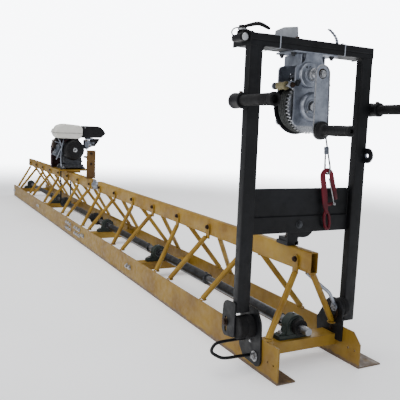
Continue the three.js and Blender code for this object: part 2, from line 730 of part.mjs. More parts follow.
// ---- hand winch ----
const winchSide = (x0, x1) => {
  const shape = roundedRect(WINCH_Y - 66, WINCH_Y + 66, 752, 936, 14);
  return cut(
    plateX(shape, x0, x1),
    roundX(x0 - 5, x1 + 5, WINCH_Y, WINCH_Z, AXLE_R + 0.5, 14),
    roundX(x0 - 5, x1 + 5, CRANK_Y, CRANK_Z, CRANK_SHAFT_R + 0.5, 14),
  );
};
const ring = (x0, x1, y, z, outerR, innerR) => turnedX([
  [innerR, x0],
  [outerR, x0],
  [outerR, x1],
  [innerR, x1],
  [innerR, x0],
], y, z, 14);
add("winch_body", join(
  block(2052, 2149, -64, 108, underBar - 5, underBar),
  block(2056, 2149, -40, 60, 930, underBar - 3),
  WINCH_SIDES.map((side) => winchSide(...side)),
  ring(2148, 2168, CRANK_Y, CRANK_Z, 40, CRANK_SHAFT_R + 0.5),
  ring(2148, 2162, WINCH_Y, WINCH_Z, 42, 27),
  ring(2148, 2156, WINCH_Y, WINCH_Z, 28, AXLE_R + 0.5),
  [-40, 66].map((y) => roundX(2148, 2156, y, 878, 8, 6)),
  // ears that carry the rope roller
  WINCH_SIDES.map((side) => block(...side, -74, -50, 862, 884)),
), zinc);

// toothed rim, drum and far flange in one turning piece
const gearRim = () => {
  const shape = new THREE.Shape();
  for (let i = 0; i < GEAR_TEETH; i += 1) {
    const step = (2 * Math.PI) / GEAR_TEETH;
    const corners = [[0, GEAR_R - 6], [0.22, GEAR_R], [0.5, GEAR_R], [0.72, GEAR_R - 6]];
    corners.forEach(([turn, radius], k) => {
      const angle = (i + turn) * step;
      const place = [WINCH_Y + radius * Math.cos(angle), WINCH_Z + radius * Math.sin(angle)];
      if (i === 0 && k === 0) shape.moveTo(...place);
      else shape.lineTo(...place);
    });
  }
  return plateX(shape, ...GEAR_X);
};
add("winch_drum", join(
  gearRim(),
  roundX(2050, 2160, WINCH_Y, WINCH_Z, AXLE_R, 14),
  roundX(2074, 2130, WINCH_Y, WINCH_Z, CORE_R, 14),
  roundX(2068, 2074, WINCH_Y, WINCH_Z, 86, 14),
), zinc);
add("rope_winding", turnedX([
  [CORE_R + 0.4, COIL_X[0]],
  [COIL_R, COIL_X[0]],
  [COIL_R, COIL_X[1]],
  [CORE_R + 0.4, COIL_X[1]],
  [CORE_R + 0.4, COIL_X[0]],
], WINCH_Y, WINCH_Z, 14), ropeSteel);

// crank: pinion, shaft and a flat arm that hangs from it
const arm = () => {
  const shape = new THREE.Shape();
  shape.absarc(0, 0, 26, 0, Math.PI);
  shape.lineTo(-28, -ARM_LENGTH);
  shape.absarc(0, -ARM_LENGTH, 28, Math.PI, 2 * Math.PI);
  return plateX(shape, ...ARM_X).rotateX(ARM_TILT).translate(0, CRANK_Y, CRANK_Z);
};
const gripY = CRANK_Y + ARM_LENGTH * Math.sin(ARM_TILT);
const gripZ = CRANK_Z - ARM_LENGTH * Math.cos(ARM_TILT);
add("winch_crank", join(
  roundX(2050, 2224, CRANK_Y, CRANK_Z, CRANK_SHAFT_R, 14),
  roundX(2127, 2140, CRANK_Y, CRANK_Z, PINION_R, 14),
  arm(),
  roundX(2217, 2340, gripY, gripZ, 6, 10),
), zinc);
add("crank_grip", turnedX([
  [6.5, 2219],
  [27, 2219],
  [27, 2228],
  [16, 2238],
  [14.5, 2290],
  [16, 2344],
  [12, 2350],
  [6.5, 2350],
  [6.5, 2219],
], gripY, gripZ, 14), plastic);
add("rope_roller", join(
  roundX(2078, 2120, ...ROLLER, 13, 14),
  roundX(WINCH_SIDES[0][1] + GAP, WINCH_SIDES[1][0] - GAP, ...ROLLER, 5, 10),
), rubber);

// ---- rope, and the hook that hangs upside down in its eye ----
// down from the drum, round the eye and back up to the ferrule
add("winch_rope", sweep([
  [2102, ROPE_Y, 810],
  [2108, ROPE_Y, 785],
  [2120, ROPE_Y, 740],
  [2134, ROPE_Y, 695],
  [2147, ROPE_Y, 655],
  [2155, ROPE_Y, 630],
  [HOOK_X + EYE_R, ROPE_Y, EYE_Z],
  [HOOK_X + EYE_R * 0.7, ROPE_Y, EYE_Z - EYE_R * 0.7],
  [HOOK_X, ROPE_Y, EYE_Z - EYE_R],
  [HOOK_X - EYE_R * 0.7, ROPE_Y, EYE_Z - EYE_R * 0.7],
  [HOOK_X - EYE_R, ROPE_Y, EYE_Z],
  [2131, ROPE_Y, 630],
  [2130, ROPE_Y, 655],
  [2130, ROPE_Y, 684],
], ROPE_R, 8, 44), ropeSteel);

const hung = (geometry) => geometry.rotateX(HOOK_TILT).translate(HOOK_X, ROPE_Y, HOOK_Z);
const hookLegs = () => {
  const shape = new THREE.Shape();
  shape.moveTo(-BOWL_OUT, 0);
  shape.absarc(0, 0, BOWL_OUT, Math.PI, 0, true);
  shape.lineTo(36, -78);
  shape.quadraticCurveTo(36, -86, 30, -85);
  shape.lineTo(24, -76);
  shape.lineTo(BOWL_IN, 0);
  shape.absarc(0, 0, BOWL_IN, 0, Math.PI, false);
  shape.lineTo(-11, -76);
  shape.lineTo(18, -88);
  shape.lineTo(18, -100);
  shape.lineTo(-4, -102);
  shape.lineTo(-8, -116);
  shape.lineTo(-20, -116);
  shape.lineTo(-23, -98);
  return plateX(shape, -HOOK_T / 2, HOOK_T / 2);
};
const hookEye = () => {
  const shape = new THREE.Shape();
  shape.absellipse(-14, -144, 15, 34, 0, 2 * Math.PI);
  const hole = new THREE.Path();
  hole.absellipse(-14, -144, 6, 23, 0, 2 * Math.PI);
  shape.holes.push(hole);
  return plateX(shape, -HOOK_T / 2, HOOK_T / 2);
};
add("winch_hook", hung(join(hookLegs(), hookEye())), hookRed);
add("hook_latch", hung(join(
  bar([9, 14, -94], [9, 0, -6], 2.2),
  roundX(6.4, 12, 14, -94, 5, 10),
)), steel);

// ---- throttle on the left end of the top bar ----
const barTop = FRAME_TOP + GAP;
add("throttle_clamp", join(
  block(2096, 2150, -250, -217.3, 984, 1004),
  block(2100, 2136, -230, -196, barTop, barTop + 6),
  block(2100, 2136, -236, -217.3, 998, barTop + 6),
  roundZ(...THROTTLE, barTop + 4, barTop + 16, 9, 14),
), zinc);
add("throttle_lever", join(
  roundZ(...THROTTLE, barTop + 16 + GAP, barTop + 24, 12, 14),
  bar([2122, -222, barTop + 22], [2146, -196, barTop + 27], 4.5),
  bar([2146, -196, barTop + 27], [2152, -156, barTop + 17], 4.5),
), plastic);

export default screed;
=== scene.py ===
"""Power screed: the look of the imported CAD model, in metres."""
import math

import bmesh
import bpy
from mathutils import Matrix, Vector


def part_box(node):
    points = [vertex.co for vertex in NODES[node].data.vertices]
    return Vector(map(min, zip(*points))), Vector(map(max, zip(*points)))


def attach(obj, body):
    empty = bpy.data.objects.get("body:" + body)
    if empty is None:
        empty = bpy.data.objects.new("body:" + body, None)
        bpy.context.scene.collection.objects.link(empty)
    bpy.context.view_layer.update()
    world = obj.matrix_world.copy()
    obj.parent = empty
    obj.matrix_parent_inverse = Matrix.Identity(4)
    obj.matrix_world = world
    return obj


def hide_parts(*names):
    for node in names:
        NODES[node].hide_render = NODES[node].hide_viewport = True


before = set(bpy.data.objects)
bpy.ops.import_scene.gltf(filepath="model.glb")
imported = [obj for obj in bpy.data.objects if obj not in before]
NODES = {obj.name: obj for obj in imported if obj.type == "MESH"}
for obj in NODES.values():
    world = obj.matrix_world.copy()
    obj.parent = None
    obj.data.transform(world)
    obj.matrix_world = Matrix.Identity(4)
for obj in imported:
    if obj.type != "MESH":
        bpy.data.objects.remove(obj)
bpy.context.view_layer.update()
FIXED = "truss_frame"
GAP = 0.0003  # keeps the faces of touching pieces apart


# ---------------------------------------------------------------- camera and light
def look_matrix(place, yaw, pitch, roll):
    """A camera at place. Yaw turns from +Y towards +X, pitch is up, roll is clockwise; all in degrees."""
    yaw, pitch, roll = (math.radians(angle) for angle in (yaw, pitch, roll))
    ahead = Vector((
        math.sin(yaw) * math.cos(pitch),
        math.cos(yaw) * math.cos(pitch),
        math.sin(pitch),
    ))
    right = ahead.cross(Vector((0, 0, 1))).normalized()
    up = right.cross(ahead)
    right, up = (
        math.cos(roll) * right + math.sin(roll) * up,
        math.cos(roll) * up - math.sin(roll) * right,
    )
    turn = Matrix((right, up, -ahead)).transposed().to_4x4()
    return Matrix.Translation(place) @ turn


CAMERA_PLACE = Vector((3.515, -1.087, 0.728))
CAMERA_TURN = (-62.47, -7.13, 2.3)
LENS, SENSOR = 50.56, 36
NEAR_CLIP = 0.05

camera = bpy.data.objects.new("camera", bpy.data.cameras.new("camera"))
camera.data.lens = LENS
camera.data.sensor_width = SENSOR
camera.data.clip_start = NEAR_CLIP
camera.matrix_world = look_matrix(CAMERA_PLACE, *CAMERA_TURN)
bpy.context.scene.collection.objects.link(camera)
bpy.context.scene.camera = camera


def area_light(name, place, target, size, power, tint=(1, 1, 1)):
    """A square lamp turned towards a target."""
    data = bpy.data.lights.new(name, "AREA")
    data.size = size
    data.energy = power
    data.color = tint
    lamp = bpy.data.objects.new(name, data)
    lamp.location = place
    lamp.rotation_euler = (Vector(target) - Vector(place)).to_track_quat("-Z", "Y").to_euler()
    bpy.context.scene.collection.objects.link(lamp)


area_light("sky", (0.5, -0.5, 4.5), (0.3, 0, 0), 4.5, 175)
area_light("near_side", (2.4, -4.2, 2.2), (0.6, 0, 0.3), 3.0, 84, (1, 0.98, 0.95))
area_light("end_fill", (5.6, 1.6, 1.6), (2.0, 0, 0.5), 2.4, 14, (0.93, 0.96, 1))
area_light("rear_rim", (-1.5, 4.0, 2.8), (0, 0, 0.4), 3.0, 80)

# strength of the backdrop as a light, and as the camera sees it
WORLD_LIGHT = 0.38
WORLD_SEEN = 9.0
COOL_WHITE = (0.93, 0.95, 1, 1)

world = bpy.data.worlds.new("studio")
world.use_nodes = True
backdrop = world.node_tree.nodes["Background"]
backdrop.inputs["Color"].default_value = COOL_WHITE
ray = world.node_tree.nodes.new("ShaderNodeLightPath")
strength = world.node_tree.nodes.new("ShaderNodeMapRange")
strength.inputs["To Min"].default_value = WORLD_LIGHT
strength.inputs["To Max"].default_value = WORLD_SEEN
world.node_tree.links.new(ray.outputs["Is Camera Ray"], strength.inputs["Value"])
world.node_tree.links.new(strength.outputs["Result"], backdrop.inputs["Strength"])
bpy.context.scene.world = world


# ---------------------------------------------------------------- materials
class Shader:
    """A Principled material with short helpers for its procedural nodes."""

    def __init__(self, name, color, rough, metal=0.0, gloss=0.5):
        self.material = bpy.data.materials.new(name)
        self.material.use_nodes = True
        self.tree = self.material.node_tree
        self.bsdf = self.tree.nodes["Principled BSDF"]
        self.bsdf.inputs["Base Color"].default_value = (*color, 1)
        self.bsdf.inputs["Roughness"].default_value = rough
        self.bsdf.inputs["Metallic"].default_value = metal
        self.bsdf.inputs["Specular IOR Level"].default_value = gloss
        self.where = self.tree.nodes.new("ShaderNodeTexCoord").outputs["Object"]

    def node(self, kind, **values):
        made = self.tree.nodes.new(kind)
        for key, value in values.items():
            setattr(made, key, value)
        return made

    def link(self, a, b):
        self.tree.links.new(a, b)

    def noise(self, scale, detail=4.0, rough=0.55, stretch=None):
        made = self.node("ShaderNodeTexNoise")
        made.inputs["Scale"].default_value = scale
        made.inputs["Detail"].default_value = detail
        made.inputs["Roughness"].default_value = rough
        place = self.where
        if stretch:
            mapping = self.node("ShaderNodeMapping")
            mapping.inputs["Scale"].default_value = stretch
            self.link(self.where, mapping.inputs["Vector"])
            place = mapping.outputs["Vector"]
        self.link(place, made.inputs["Vector"])
        return made.outputs["Fac"]

    def ramp(self, source, *stops):
        """Greys or colours by value: stops are (position, colour or grey)."""
        made = self.node("ShaderNodeValToRGB")
        ramp = made.color_ramp
        while len(ramp.elements) < len(stops):
            ramp.elements.new(0.5)
        for element, (position, value) in zip(ramp.elements, stops):
            element.position = position
            element.color = (*value, 1) if isinstance(value, tuple) else (value, value, value, 1)
        self.link(source, made.inputs["Fac"])
        return made.outputs["Color"]

    def mix(self, amount, a, b):
        """Colour a where amount is 0 and b where it is 1; a and b are sockets or colours."""
        made = self.node("ShaderNodeMix", data_type="RGBA")
        self.link(amount, made.inputs[0])
        for socket, value in ((made.inputs[6], a), (made.inputs[7], b)):
            if isinstance(value, tuple):
                socket.default_value = (*value, 1)
            else:
                self.link(value, socket)
        return made.outputs[2]

    def edge_wear(self, width=0.002, low=0.35, high=0.75):
        """White along sharp edges, broken up by noise."""
        bevel = self.node("ShaderNodeBevel", samples=4)
        bevel.inputs["Radius"].default_value = width
        plain = self.node("ShaderNodeNewGeometry")
        dot = self.node("ShaderNodeVectorMath", operation="DOT_PRODUCT")
        self.link(bevel.outputs["Normal"], dot.inputs[0])
        self.link(plain.outputs["Normal"], dot.inputs[1])
        edge = self.ramp(dot.outputs["Value"], (0.9, 1.0), (0.995, 0.0))
        broken = self.ramp(self.noise(60, 5), (low, 0.0), (high, 1.0))
        product = self.node("ShaderNodeMix", data_type="RGBA", blend_type="MULTIPLY")
        product.inputs[0].default_value = 1
        self.link(edge, product.inputs[6])
        self.link(broken, product.inputs[7])
        return product.outputs[2]

    def color(self, socket):
        self.link(socket, self.bsdf.inputs["Base Color"])

    def rough(self, socket):
        self.link(socket, self.bsdf.inputs["Roughness"])

    def bump(self, socket, height, strength=0.5):
        made = self.node("ShaderNodeBump")
        made.inputs["Distance"].default_value = height
        made.inputs["Strength"].default_value = strength
        self.link(socket, made.inputs["Height"])
        self.link(made.outputs["Normal"], self.bsdf.inputs["Normal"])


def painted(name, color, light, dark, worn, rough=0.42, gloss=0.3):
    """Brushed-on enamel: tone drift, dust, scuffs to a worn colour and an orange-peel surface."""
    made = Shader(name, color, rough, gloss=gloss)
    drift = made.ramp(made.noise(7, 5), (0.35, dark), (0.5, color), (0.68, light))
    streak = made.ramp(made.noise(26, 6, 0.65, (0.15, 1, 1)), (0.45, 0.0), (0.75, 0.5))
    tone = made.mix(streak, drift, light)
    speck = made.ramp(made.noise(150, 3), (0.7, 0.0), (0.76, 0.8))
    tone = made.mix(speck, tone, worn)
    made.color(made.mix(made.edge_wear(0.002, 0.42, 0.62), tone, worn))
    made.rough(made.ramp(made.noise(38, 5), (0.3, rough - 0.1), (0.7, rough + 0.2)))
    made.bump(made.noise(420, 2), 0.0004, 0.35)
    return made.material


def metal(name, color, dark, rough, grain=(1, 1, 1), patch=30, metallic=0.9):
    """Bare or plated metal with patchy tone and a fine directional grain."""
    made = Shader(name, color, rough, metallic)
    patchy = made.ramp(made.noise(patch, 5), (0.35, dark), (0.62, color))
    grime = made.ramp(made.noise(95, 6), (0.55, 0.0), (0.8, 0.55))
    made.color(made.mix(grime, patchy, tuple(0.45 * c for c in dark)))
    made.rough(made.ramp(made.noise(210, 3, 0.5, grain), (0.3, rough - 0.1), (0.7, rough + 0.14)))
    made.bump(made.noise(500, 3, 0.5, grain), 0.0003, 0.25)
    return made.material


def moulded(name, color, light, rough, scale=900, height=0.0003):
    """Moulded plastic or rubber: dusty tone, fine pitted surface."""
    made = Shader(name, color, rough, gloss=0.22)
    dust = made.ramp(made.noise(24, 6, 0.6), (0.42, color), (0.78, light))
    made.color(dust)
    made.rough(made.ramp(made.noise(60, 4), (0.3, rough - 0.08), (0.7, rough + 0.12)))
    made.bump(made.noise(scale, 2), height, 0.5)
    return made.material


def concrete_worn_blade():
    """Yellow enamel that is worn to bare, cement-stained steel towards the sole."""
    base, light, dark = (0.225, 0.128, 0.01), (0.275, 0.165, 0.018), (0.165, 0.086, 0.007)
    steel = (0.13, 0.088, 0.058)
    made = Shader("blade_paint", base, 0.45, gloss=0.3)
    drift = made.ramp(made.noise(6, 5), (0.35, dark), (0.5, base), (0.68, light))
    split = made.node("ShaderNodeSeparateXYZ")
    made.link(made.where, split.inputs[0])
    height = made.node("ShaderNodeMath", operation="MULTIPLY_ADD")
    made.link(split.outputs["Z"], height.inputs[0])
    height.inputs[1].default_value = 34.0
    made.link(made.noise(34, 6, 0.7), height.inputs[2])
    low = made.ramp(height.outputs[0], (0.72, 0.95), (0.98, 0.0))
    stain = made.ramp(made.noise(120, 4), (0.35, (0.085, 0.055, 0.036)), (0.65, steel))
    tone = made.mix(low, drift, stain)
    tone = made.mix(made.edge_wear(0.0025, 0.35, 0.6), tone, steel)
    speck = made.ramp(made.noise(170, 3), (0.69, 0.0), (0.75, 0.8))
    made.color(made.mix(speck, tone, (0.13, 0.07, 0.03)))
    made.rough(made.ramp(made.noise(44, 5), (0.3, 0.36), (0.7, 0.66)))
    made.bump(made.noise(300, 3), 0.0005, 0.4)
    return made.material


YELLOW = painted("yellow_enamel", (0.27, 0.152, 0.014), (0.35, 0.215, 0.032), (0.19, 0.098, 0.009),
                 (0.085, 0.042, 0.02))
BLADE = concrete_worn_blade()
BLACK = painted("black_enamel", (0.0046, 0.0051, 0.0064), (0.0088, 0.0096, 0.0122), (0.0026, 0.0029, 0.0036),
                (0.022, 0.022, 0.024), 0.44, gloss=0.26)
ZINC = metal("zinc_plate", (0.38, 0.41, 0.47), (0.22, 0.24, 0.285), 0.4)
BOLT = metal("bolt_zinc", (0.46, 0.46, 0.47), (0.24, 0.24, 0.25), 0.3, patch=90)
DARK_BOLT = metal("dark_bolt", (0.055, 0.035, 0.025), (0.03, 0.018, 0.012), 0.5, patch=90)
STEEL = metal("oiled_steel", (0.085, 0.09, 0.098), (0.04, 0.042, 0.046), 0.36, (1, 6, 6))
BRIGHT = metal("machined_steel", (0.5, 0.51, 0.53), (0.32, 0.33, 0.35), 0.24, (1, 9, 9))
ALLOY = metal("cast_alloy", (0.24, 0.265, 0.31), (0.12, 0.135, 0.165), 0.46, metallic=0.75)
ENGINE_DARK = metal("engine_dark_casting", (0.055, 0.06, 0.072), (0.018, 0.02, 0.026), 0.46, patch=70, metallic=0.5)
GUARD = painted("guard_enamel", (0.03, 0.012, 0.016), (0.05, 0.022, 0.027), (0.016, 0.007, 0.009), (0.07, 0.05, 0.05))
CAST = painted("cast_green", (0.022, 0.033, 0.03), (0.042, 0.056, 0.051), (0.012, 0.019, 0.017),
               (0.09, 0.09, 0.085), 0.5)
RUBBER = moulded("black_rubber", (0.0045, 0.0045, 0.0052), (0.014, 0.0138, 0.0145), 0.66)
PLASTIC = moulded("black_plastic", (0.0052, 0.0052, 0.0062), (0.013, 0.013, 0.0145), 0.42)
TANK = painted("tank_white", (0.66, 0.65, 0.6), (0.74, 0.73, 0.69), (0.56, 0.54, 0.48), (0.3, 0.28, 0.24), 0.34)
RED = painted("hook_red", (0.115, 0.003, 0.012), (0.185, 0.007, 0.021), (0.055, 0.0015, 0.006),
              (0.05, 0.016, 0.016), 0.38)
ROPE = metal("galvanised_rope", (0.3, 0.31, 0.32), (0.13, 0.135, 0.14), 0.42, patch=240)
NYLON = moulded("olive_nylon", (0.2, 0.17, 0.085), (0.29, 0.26, 0.15), 0.55)
HOT = metal("muffler_steel", (0.16, 0.13, 0.11), (0.07, 0.055, 0.045), 0.5)
TIE = moulded("tie_plastic", (0.4, 0.43, 0.5), (0.52, 0.55, 0.6), 0.4)
# engine post: the yellow enamel made darker, which paints shade onto the post
POST_YELLOW_PAINTED_SHADE = painted("post_enamel_painted_shade", (0.105, 0.052, 0.012), (0.155, 0.085, 0.022), (0.065, 0.03, 0.008),
                (0.05, 0.028, 0.02), 0.5)
PALE_SHEET = metal("pale_sheet", (0.56, 0.58, 0.62), (0.42, 0.44, 0.47), 0.46, metallic=0.55)
# the rope on the drum: the galvanised rope made much darker, which is painted shade
ROPE_METAL_PAINTED_SHADE = metal("wound_rope_painted_shade", (0.085, 0.09, 0.088), (0.034, 0.036, 0.035), 0.52, patch=240)
SHAFT_STEEL = metal("ground_shaft", (0.27, 0.28, 0.295), (0.15, 0.155, 0.165), 0.32, (1, 9, 9))
BRASS = metal("terminal_brass", (0.45, 0.3, 0.1), (0.28, 0.18, 0.06), 0.35)


# ---------------------------------------------------------------- piece builder
AXES = {
    "X": (Vector((1, 0, 0)), Vector((0, 1, 0)), Vector((0, 0, 1))),
    "Y": (Vector((0, 1, 0)), Vector((0, 0, 1)), Vector((1, 0, 0))),
    "Z": (Vector((0, 0, 1)), Vector((1, 0, 0)), Vector((0, 1, 0))),
}


def axes_of(direction):
    """An axis letter or a vector, as a unit vector with two others square to it."""
    if isinstance(direction, str):
        return AXES[direction]
    along = Vector(direction).normalized()
    helper = Vector((0, 0, 1)) if abs(along.z) < 0.9 else Vector((1, 0, 0))
    across = helper.cross(along).normalized()
    return along, across, along.cross(across)


def skin(bm, loops, closed=False, turned=False):
    """Quads between neighbouring loops of points; closed also joins the last loop to the first."""
    for a, b in zip(loops, loops[1:] + (loops[:1] if closed else [])):
        for i in range(len(a)):
            j = (i + 1) % len(a)
            bm.faces.new((a[i], b[i], b[j], a[j]) if turned else (a[i], a[j], b[j], b[i]))


def plane_point(axis, u, v, t):
    """The point at (u, v) in the plane square to the axis, at t along it."""
    return {"X": (t, u, v), "Y": (u, t, v), "Z": (u, v, t)}[axis]


def soften(obj, width, angle):
    """Bevels the edges that are sharper than the angle."""
    edge = obj.modifiers.new("edges", "BEVEL")
    edge.width = width
    edge.segments = 2
    edge.limit_method = "ANGLE"
    edge.angle_limit = math.radians(angle)
    return edge


class Piece:
    """Collects closed solids into one mesh object."""

    def __init__(self, name):
        self.name = name
        self.bm = bmesh.new()

    def lathe(self, profile, at, axis="X", steps=40):
        """Turns a closed outline of (radius, distance along the axis) pairs."""
        along, across, third = axes_of(axis)
        at = Vector(at)
        rings = []
        for radius, offset in profile:
            centre = at + along * offset
            if radius < 1e-7:
                rings.append([self.bm.verts.new(centre)])
                continue
            rings.append([
                self.bm.verts.new(centre + across * radius * math.cos(a) + third * radius * math.sin(a))
                for a in (2 * math.pi * i / steps for i in range(steps))
            ])
        closed = profile[0][0] > 1e-7 and profile[-1][0] > 1e-7
        pairs = list(zip(rings, rings[1:])) + ([(rings[-1], rings[0])] if closed else [])
        for a, b in pairs:
            for i in range(steps):
                j = (i + 1) % steps
                if len(a) == 1 and len(b) == 1:
                    break
                if len(a) == 1:
                    self.bm.faces.new((a[0], b[j], b[i]))
                elif len(b) == 1:
                    self.bm.faces.new((a[i], a[j], b[0]))
                else:
                    self.bm.faces.new((a[i], a[j], b[j], b[i]))
        return self

    def rod(self, a, b, radius, steps=24, chamfer=0.0):
        """A solid round bar between two points."""
        a, b = Vector(a), Vector(b)
        length = (b - a).length
        c = min(chamfer, radius * 0.5, length * 0.4)
        profile = [(0, 0), (radius - c, 0), (radius, c), (radius, length - c), (radius - c, length), (0, length)]
        if not c:
            profile = [(0, 0), (radius, 0), (radius, length), (0, length)]
        return self.lathe(profile, a, b - a, steps)

    def ring(self, a, b, outer, inner, steps=40, chamfer=0.0008):
        """A bored disc or sleeve between two points."""
        a, b = Vector(a), Vector(b)
        length = (b - a).length
        c = chamfer
        profile = [
            (inner, 0), (outer - c, 0), (outer, c),
            (outer, length - c), (outer - c, length), (inner, length),
        ]
        return self.lathe(profile, a, b - a, steps)

    def box(self, low, high):
        """A block between two opposite corners."""
        low, high = Vector(low), Vector(high)
        made = bmesh.ops.create_cube(self.bm, size=1)
        for vert in made["verts"]:
            vert.co = Vector((low[k] + (vert.co[k] + 0.5) * (high[k] - low[k]) for k in range(3)))
        return self

    def prism(self, outline, start, end, axis="X", holes=()):
        """Extrudes an outline in the plane square to the axis, from start to end along it.
        Axis X takes (y, z) pairs, Y takes (x, z) and Z takes (x, y)."""
        if holes:
            outline = bridge(outline, holes)
        bottom = [self.bm.verts.new(plane_point(axis, u, v, start)) for u, v in outline]
        top = [self.bm.verts.new(plane_point(axis, u, v, end)) for u, v in outline]
        count = len(outline)
        self.bm.faces.new(bottom)
        self.bm.faces.new(list(reversed(top)))
        for i in range(count):
            j = (i + 1) % count
            self.bm.faces.new((bottom[i], top[i], top[j], bottom[j]))
        return self

    def tube(self, points, radius, steps=14):
        """A round section along a list of points; the radius may be a list too."""
        points = [Vector(point) for point in points]
        rings = []
        across = None
        for i, point in enumerate(points):
            along = (points[min(i + 1, len(points) - 1)] - points[max(i - 1, 0)]).normalized()
            if across is None:
                across = axes_of(along)[1]
            across = (across - along * across.dot(along)).normalized()
            third = along.cross(across)
            size = radius[i] if isinstance(radius, (list, tuple)) else radius
            rings.append([
                self.bm.verts.new(point + across * size * math.cos(a) + third * size * math.sin(a))
                for a in (2 * math.pi * k / steps for k in range(steps))
            ])
        skin(self.bm, rings)
        self.bm.faces.new(list(reversed(rings[0])))
        self.bm.faces.new(rings[-1])
        return self

    def loft(self, rows):
        """A skin over rows of points with the same count, closed at both ends."""
        made = [[self.bm.verts.new(point) for point in row] for row in rows]
        skin(self.bm, made)
        self.bm.faces.new(made[0])
        self.bm.faces.new(list(reversed(made[-1])))
        return self

    def hex(self, at, axis, size, depth):
        """A hexagon head with a washer face and a chamfered crown; at is the face it sits on."""
        along = axes_of(axis)[0] if isinstance(axis, str) else Vector(axis).normalized()
        at = Vector(at)
        crown = size * 0.94
        self.lathe([(0, 0), (size * 1.18, 0), (size * 1.18, depth * 0.16), (0, depth * 0.16)], at, along, 24)
        self.lathe([(0, depth * 0.16), (size, depth * 0.16), (size, depth * 0.86), (crown, depth), (0, depth)],
                   at, along, 6)
        return self

    def done(self, material, body=FIXED, bevel=0.0008, angle=35, replaces=(), slot=None):
        """Makes the object, smooth with sharp edges, and ties it to its body and CAD nodes. The slot argument is not
        used.
        """
        bmesh.ops.recalc_face_normals(self.bm, faces=self.bm.faces)
        mesh = bpy.data.meshes.new(self.name)
        self.bm.to_mesh(mesh)
        self.bm.free()
        mesh.materials.append(material)
        obj = bpy.data.objects.new(self.name, mesh)
        bpy.context.scene.collection.objects.link(obj)
        if bevel:
            soften(obj, bevel, angle).harden_normals = False
        mesh.shade_smooth()
        mesh.set_sharp_from_angle(angle=math.radians(angle))
        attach(obj, body)
        if replaces:
            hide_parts(*replaces)
        return obj


def bridge(outline, holes):
    """Joins round or straight holes to the outline by a thin slit, so that it stays one loop."""
    loop = list(outline)
    for hole in holes:
        best = min(
            ((i, j) for i in range(len(loop)) for j in range(len(hole))),
            key=lambda pair: (loop[pair[0]][0] - hole[pair[1]][0]) ** 2 + (loop[pair[0]][1] - hole[pair[1]][1]) ** 2,
        )
        i, j = best
        turned = hole[j:] + hole[:j + 1]
        loop = loop[:i + 1] + turned + loop[i:]
    return loop


def polar(centre, radius, angle):
    """The point on a circle at an angle in degrees."""
    angle = math.radians(angle)
    return centre[0] + radius * math.cos(angle), centre[1] + radius * math.sin(angle)


def arc(cx, cy, radius, start, end, steps=12):
    """Points on an arc, angles in degrees."""
    return [polar((cx, cy), radius, start + (end - start) * i / steps) for i in range(steps + 1)]


def rounded(u0, u1, v0, v1, radius, steps=6):
    """The outline of a rectangle with round corners."""
    return (
        arc(u1 - radius, v0 + radius, radius, -90, 0, steps)
        + arc(u1 - radius, v1 - radius, radius, 0, 90, steps)
        + arc(u0 + radius, v1 - radius, radius, 90, 180, steps)
        + arc(u0 + radius, v0 + radius, radius, 180, 270, steps)
    )


def circle_hole(cx, cy, radius, steps=20):
    """A hole's points run against the outline's turn."""
    return list(reversed(arc(cx, cy, radius, 0, 360, steps)))[:-1]


def smooth_path(points, per=8):
    """A Catmull-Rom curve through the points."""
    points = [Vector(point) for point in points]
    ends = [2 * points[0] - points[1]] + points + [2 * points[-1] - points[-2]]
    made = []
    for i in range(1, len(ends) - 2):
        a, b, c, d = ends[i - 1:i + 3]
        for k in range(per):
            t = k / per
            made.append(0.5 * (
                2 * b + (c - a) * t + (2 * a - 5 * b + 4 * c - d) * t * t + (3 * b - a - 3 * c + d) * t ** 3
            ))
    made.append(points[-1])
    return made


def finish_node(node, material, bevel=0.0008, angle=30):
    """Gives a CAD part that stays its material and a softened edge."""
    obj = NODES[node]
    obj.data.materials.clear()
    obj.data.materials.append(material)
    if bevel:
        soften(obj, bevel, angle)


def low(node, k):
    """The least coordinate of a CAD node on axis k."""
    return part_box(node)[0][k]


def high(node, k):
    """The greatest coordinate of a CAD node on axis k."""
    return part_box(node)[1][k]


def middle(node, k):
    """The middle of a CAD node on axis k."""
    return (low(node, k) + high(node, k)) / 2


# ---------------------------------------------------------------- winch rope, the one free cord
ROPE_R = 0.003
ROPE_Y = 0.0975
ROPE_ROUTE = (
    (2.07, 0.81), (2.076, 0.785), (2.088, 0.74), (2.102, 0.695), (2.115, 0.655), (2.123, 0.63),
    (2.124, 0.6154), (2.1204, 0.607), (2.112, 0.6034), (2.1036, 0.607), (2.1, 0.6154),
    (2.099, 0.63), (2.098, 0.655), (2.098, 0.684),
)
HOOK_X = 2.112
HOOK_Z = 0.598
HOOK_TILT = math.radians(10)


def laid_rope(name, path, radius, strands=6, pitch=0.03):
    """Six strands that wind round a core and stay inside the rope's radius."""
    piece = Piece(name)
    piece.tube(path, radius * 0.62, 10)
    strand = radius * 0.36
    lines = [[] for _ in range(strands)]
    travelled = 0.0
    across = None
    for i, point in enumerate(path):
        before, after = path[max(i - 1, 0)], path[min(i + 1, len(path) - 1)]
        along = (after - before).normalized()
        if across is None:
            across = axes_of(along)[1]
        across = (across - along * across.dot(along)).normalized()
        third = along.cross(across)
        if i:
            travelled += (point - before).length
        for k in range(strands):
            turn = 2 * math.pi * (travelled / pitch + k / strands)
            reach = radius - strand
            lines[k].append(point + across * reach * math.cos(turn) + third * reach * math.sin(turn))
    for line in lines:
        piece.tube(line, strand, 8)
    return piece.done(ROPE, FIXED, 0, angle=80, replaces=("winch_rope",))


rope = laid_rope("winch_rope_laid", smooth_path([(x, ROPE_Y, z) for x, z in ROPE_ROUTE], 10), ROPE_R)

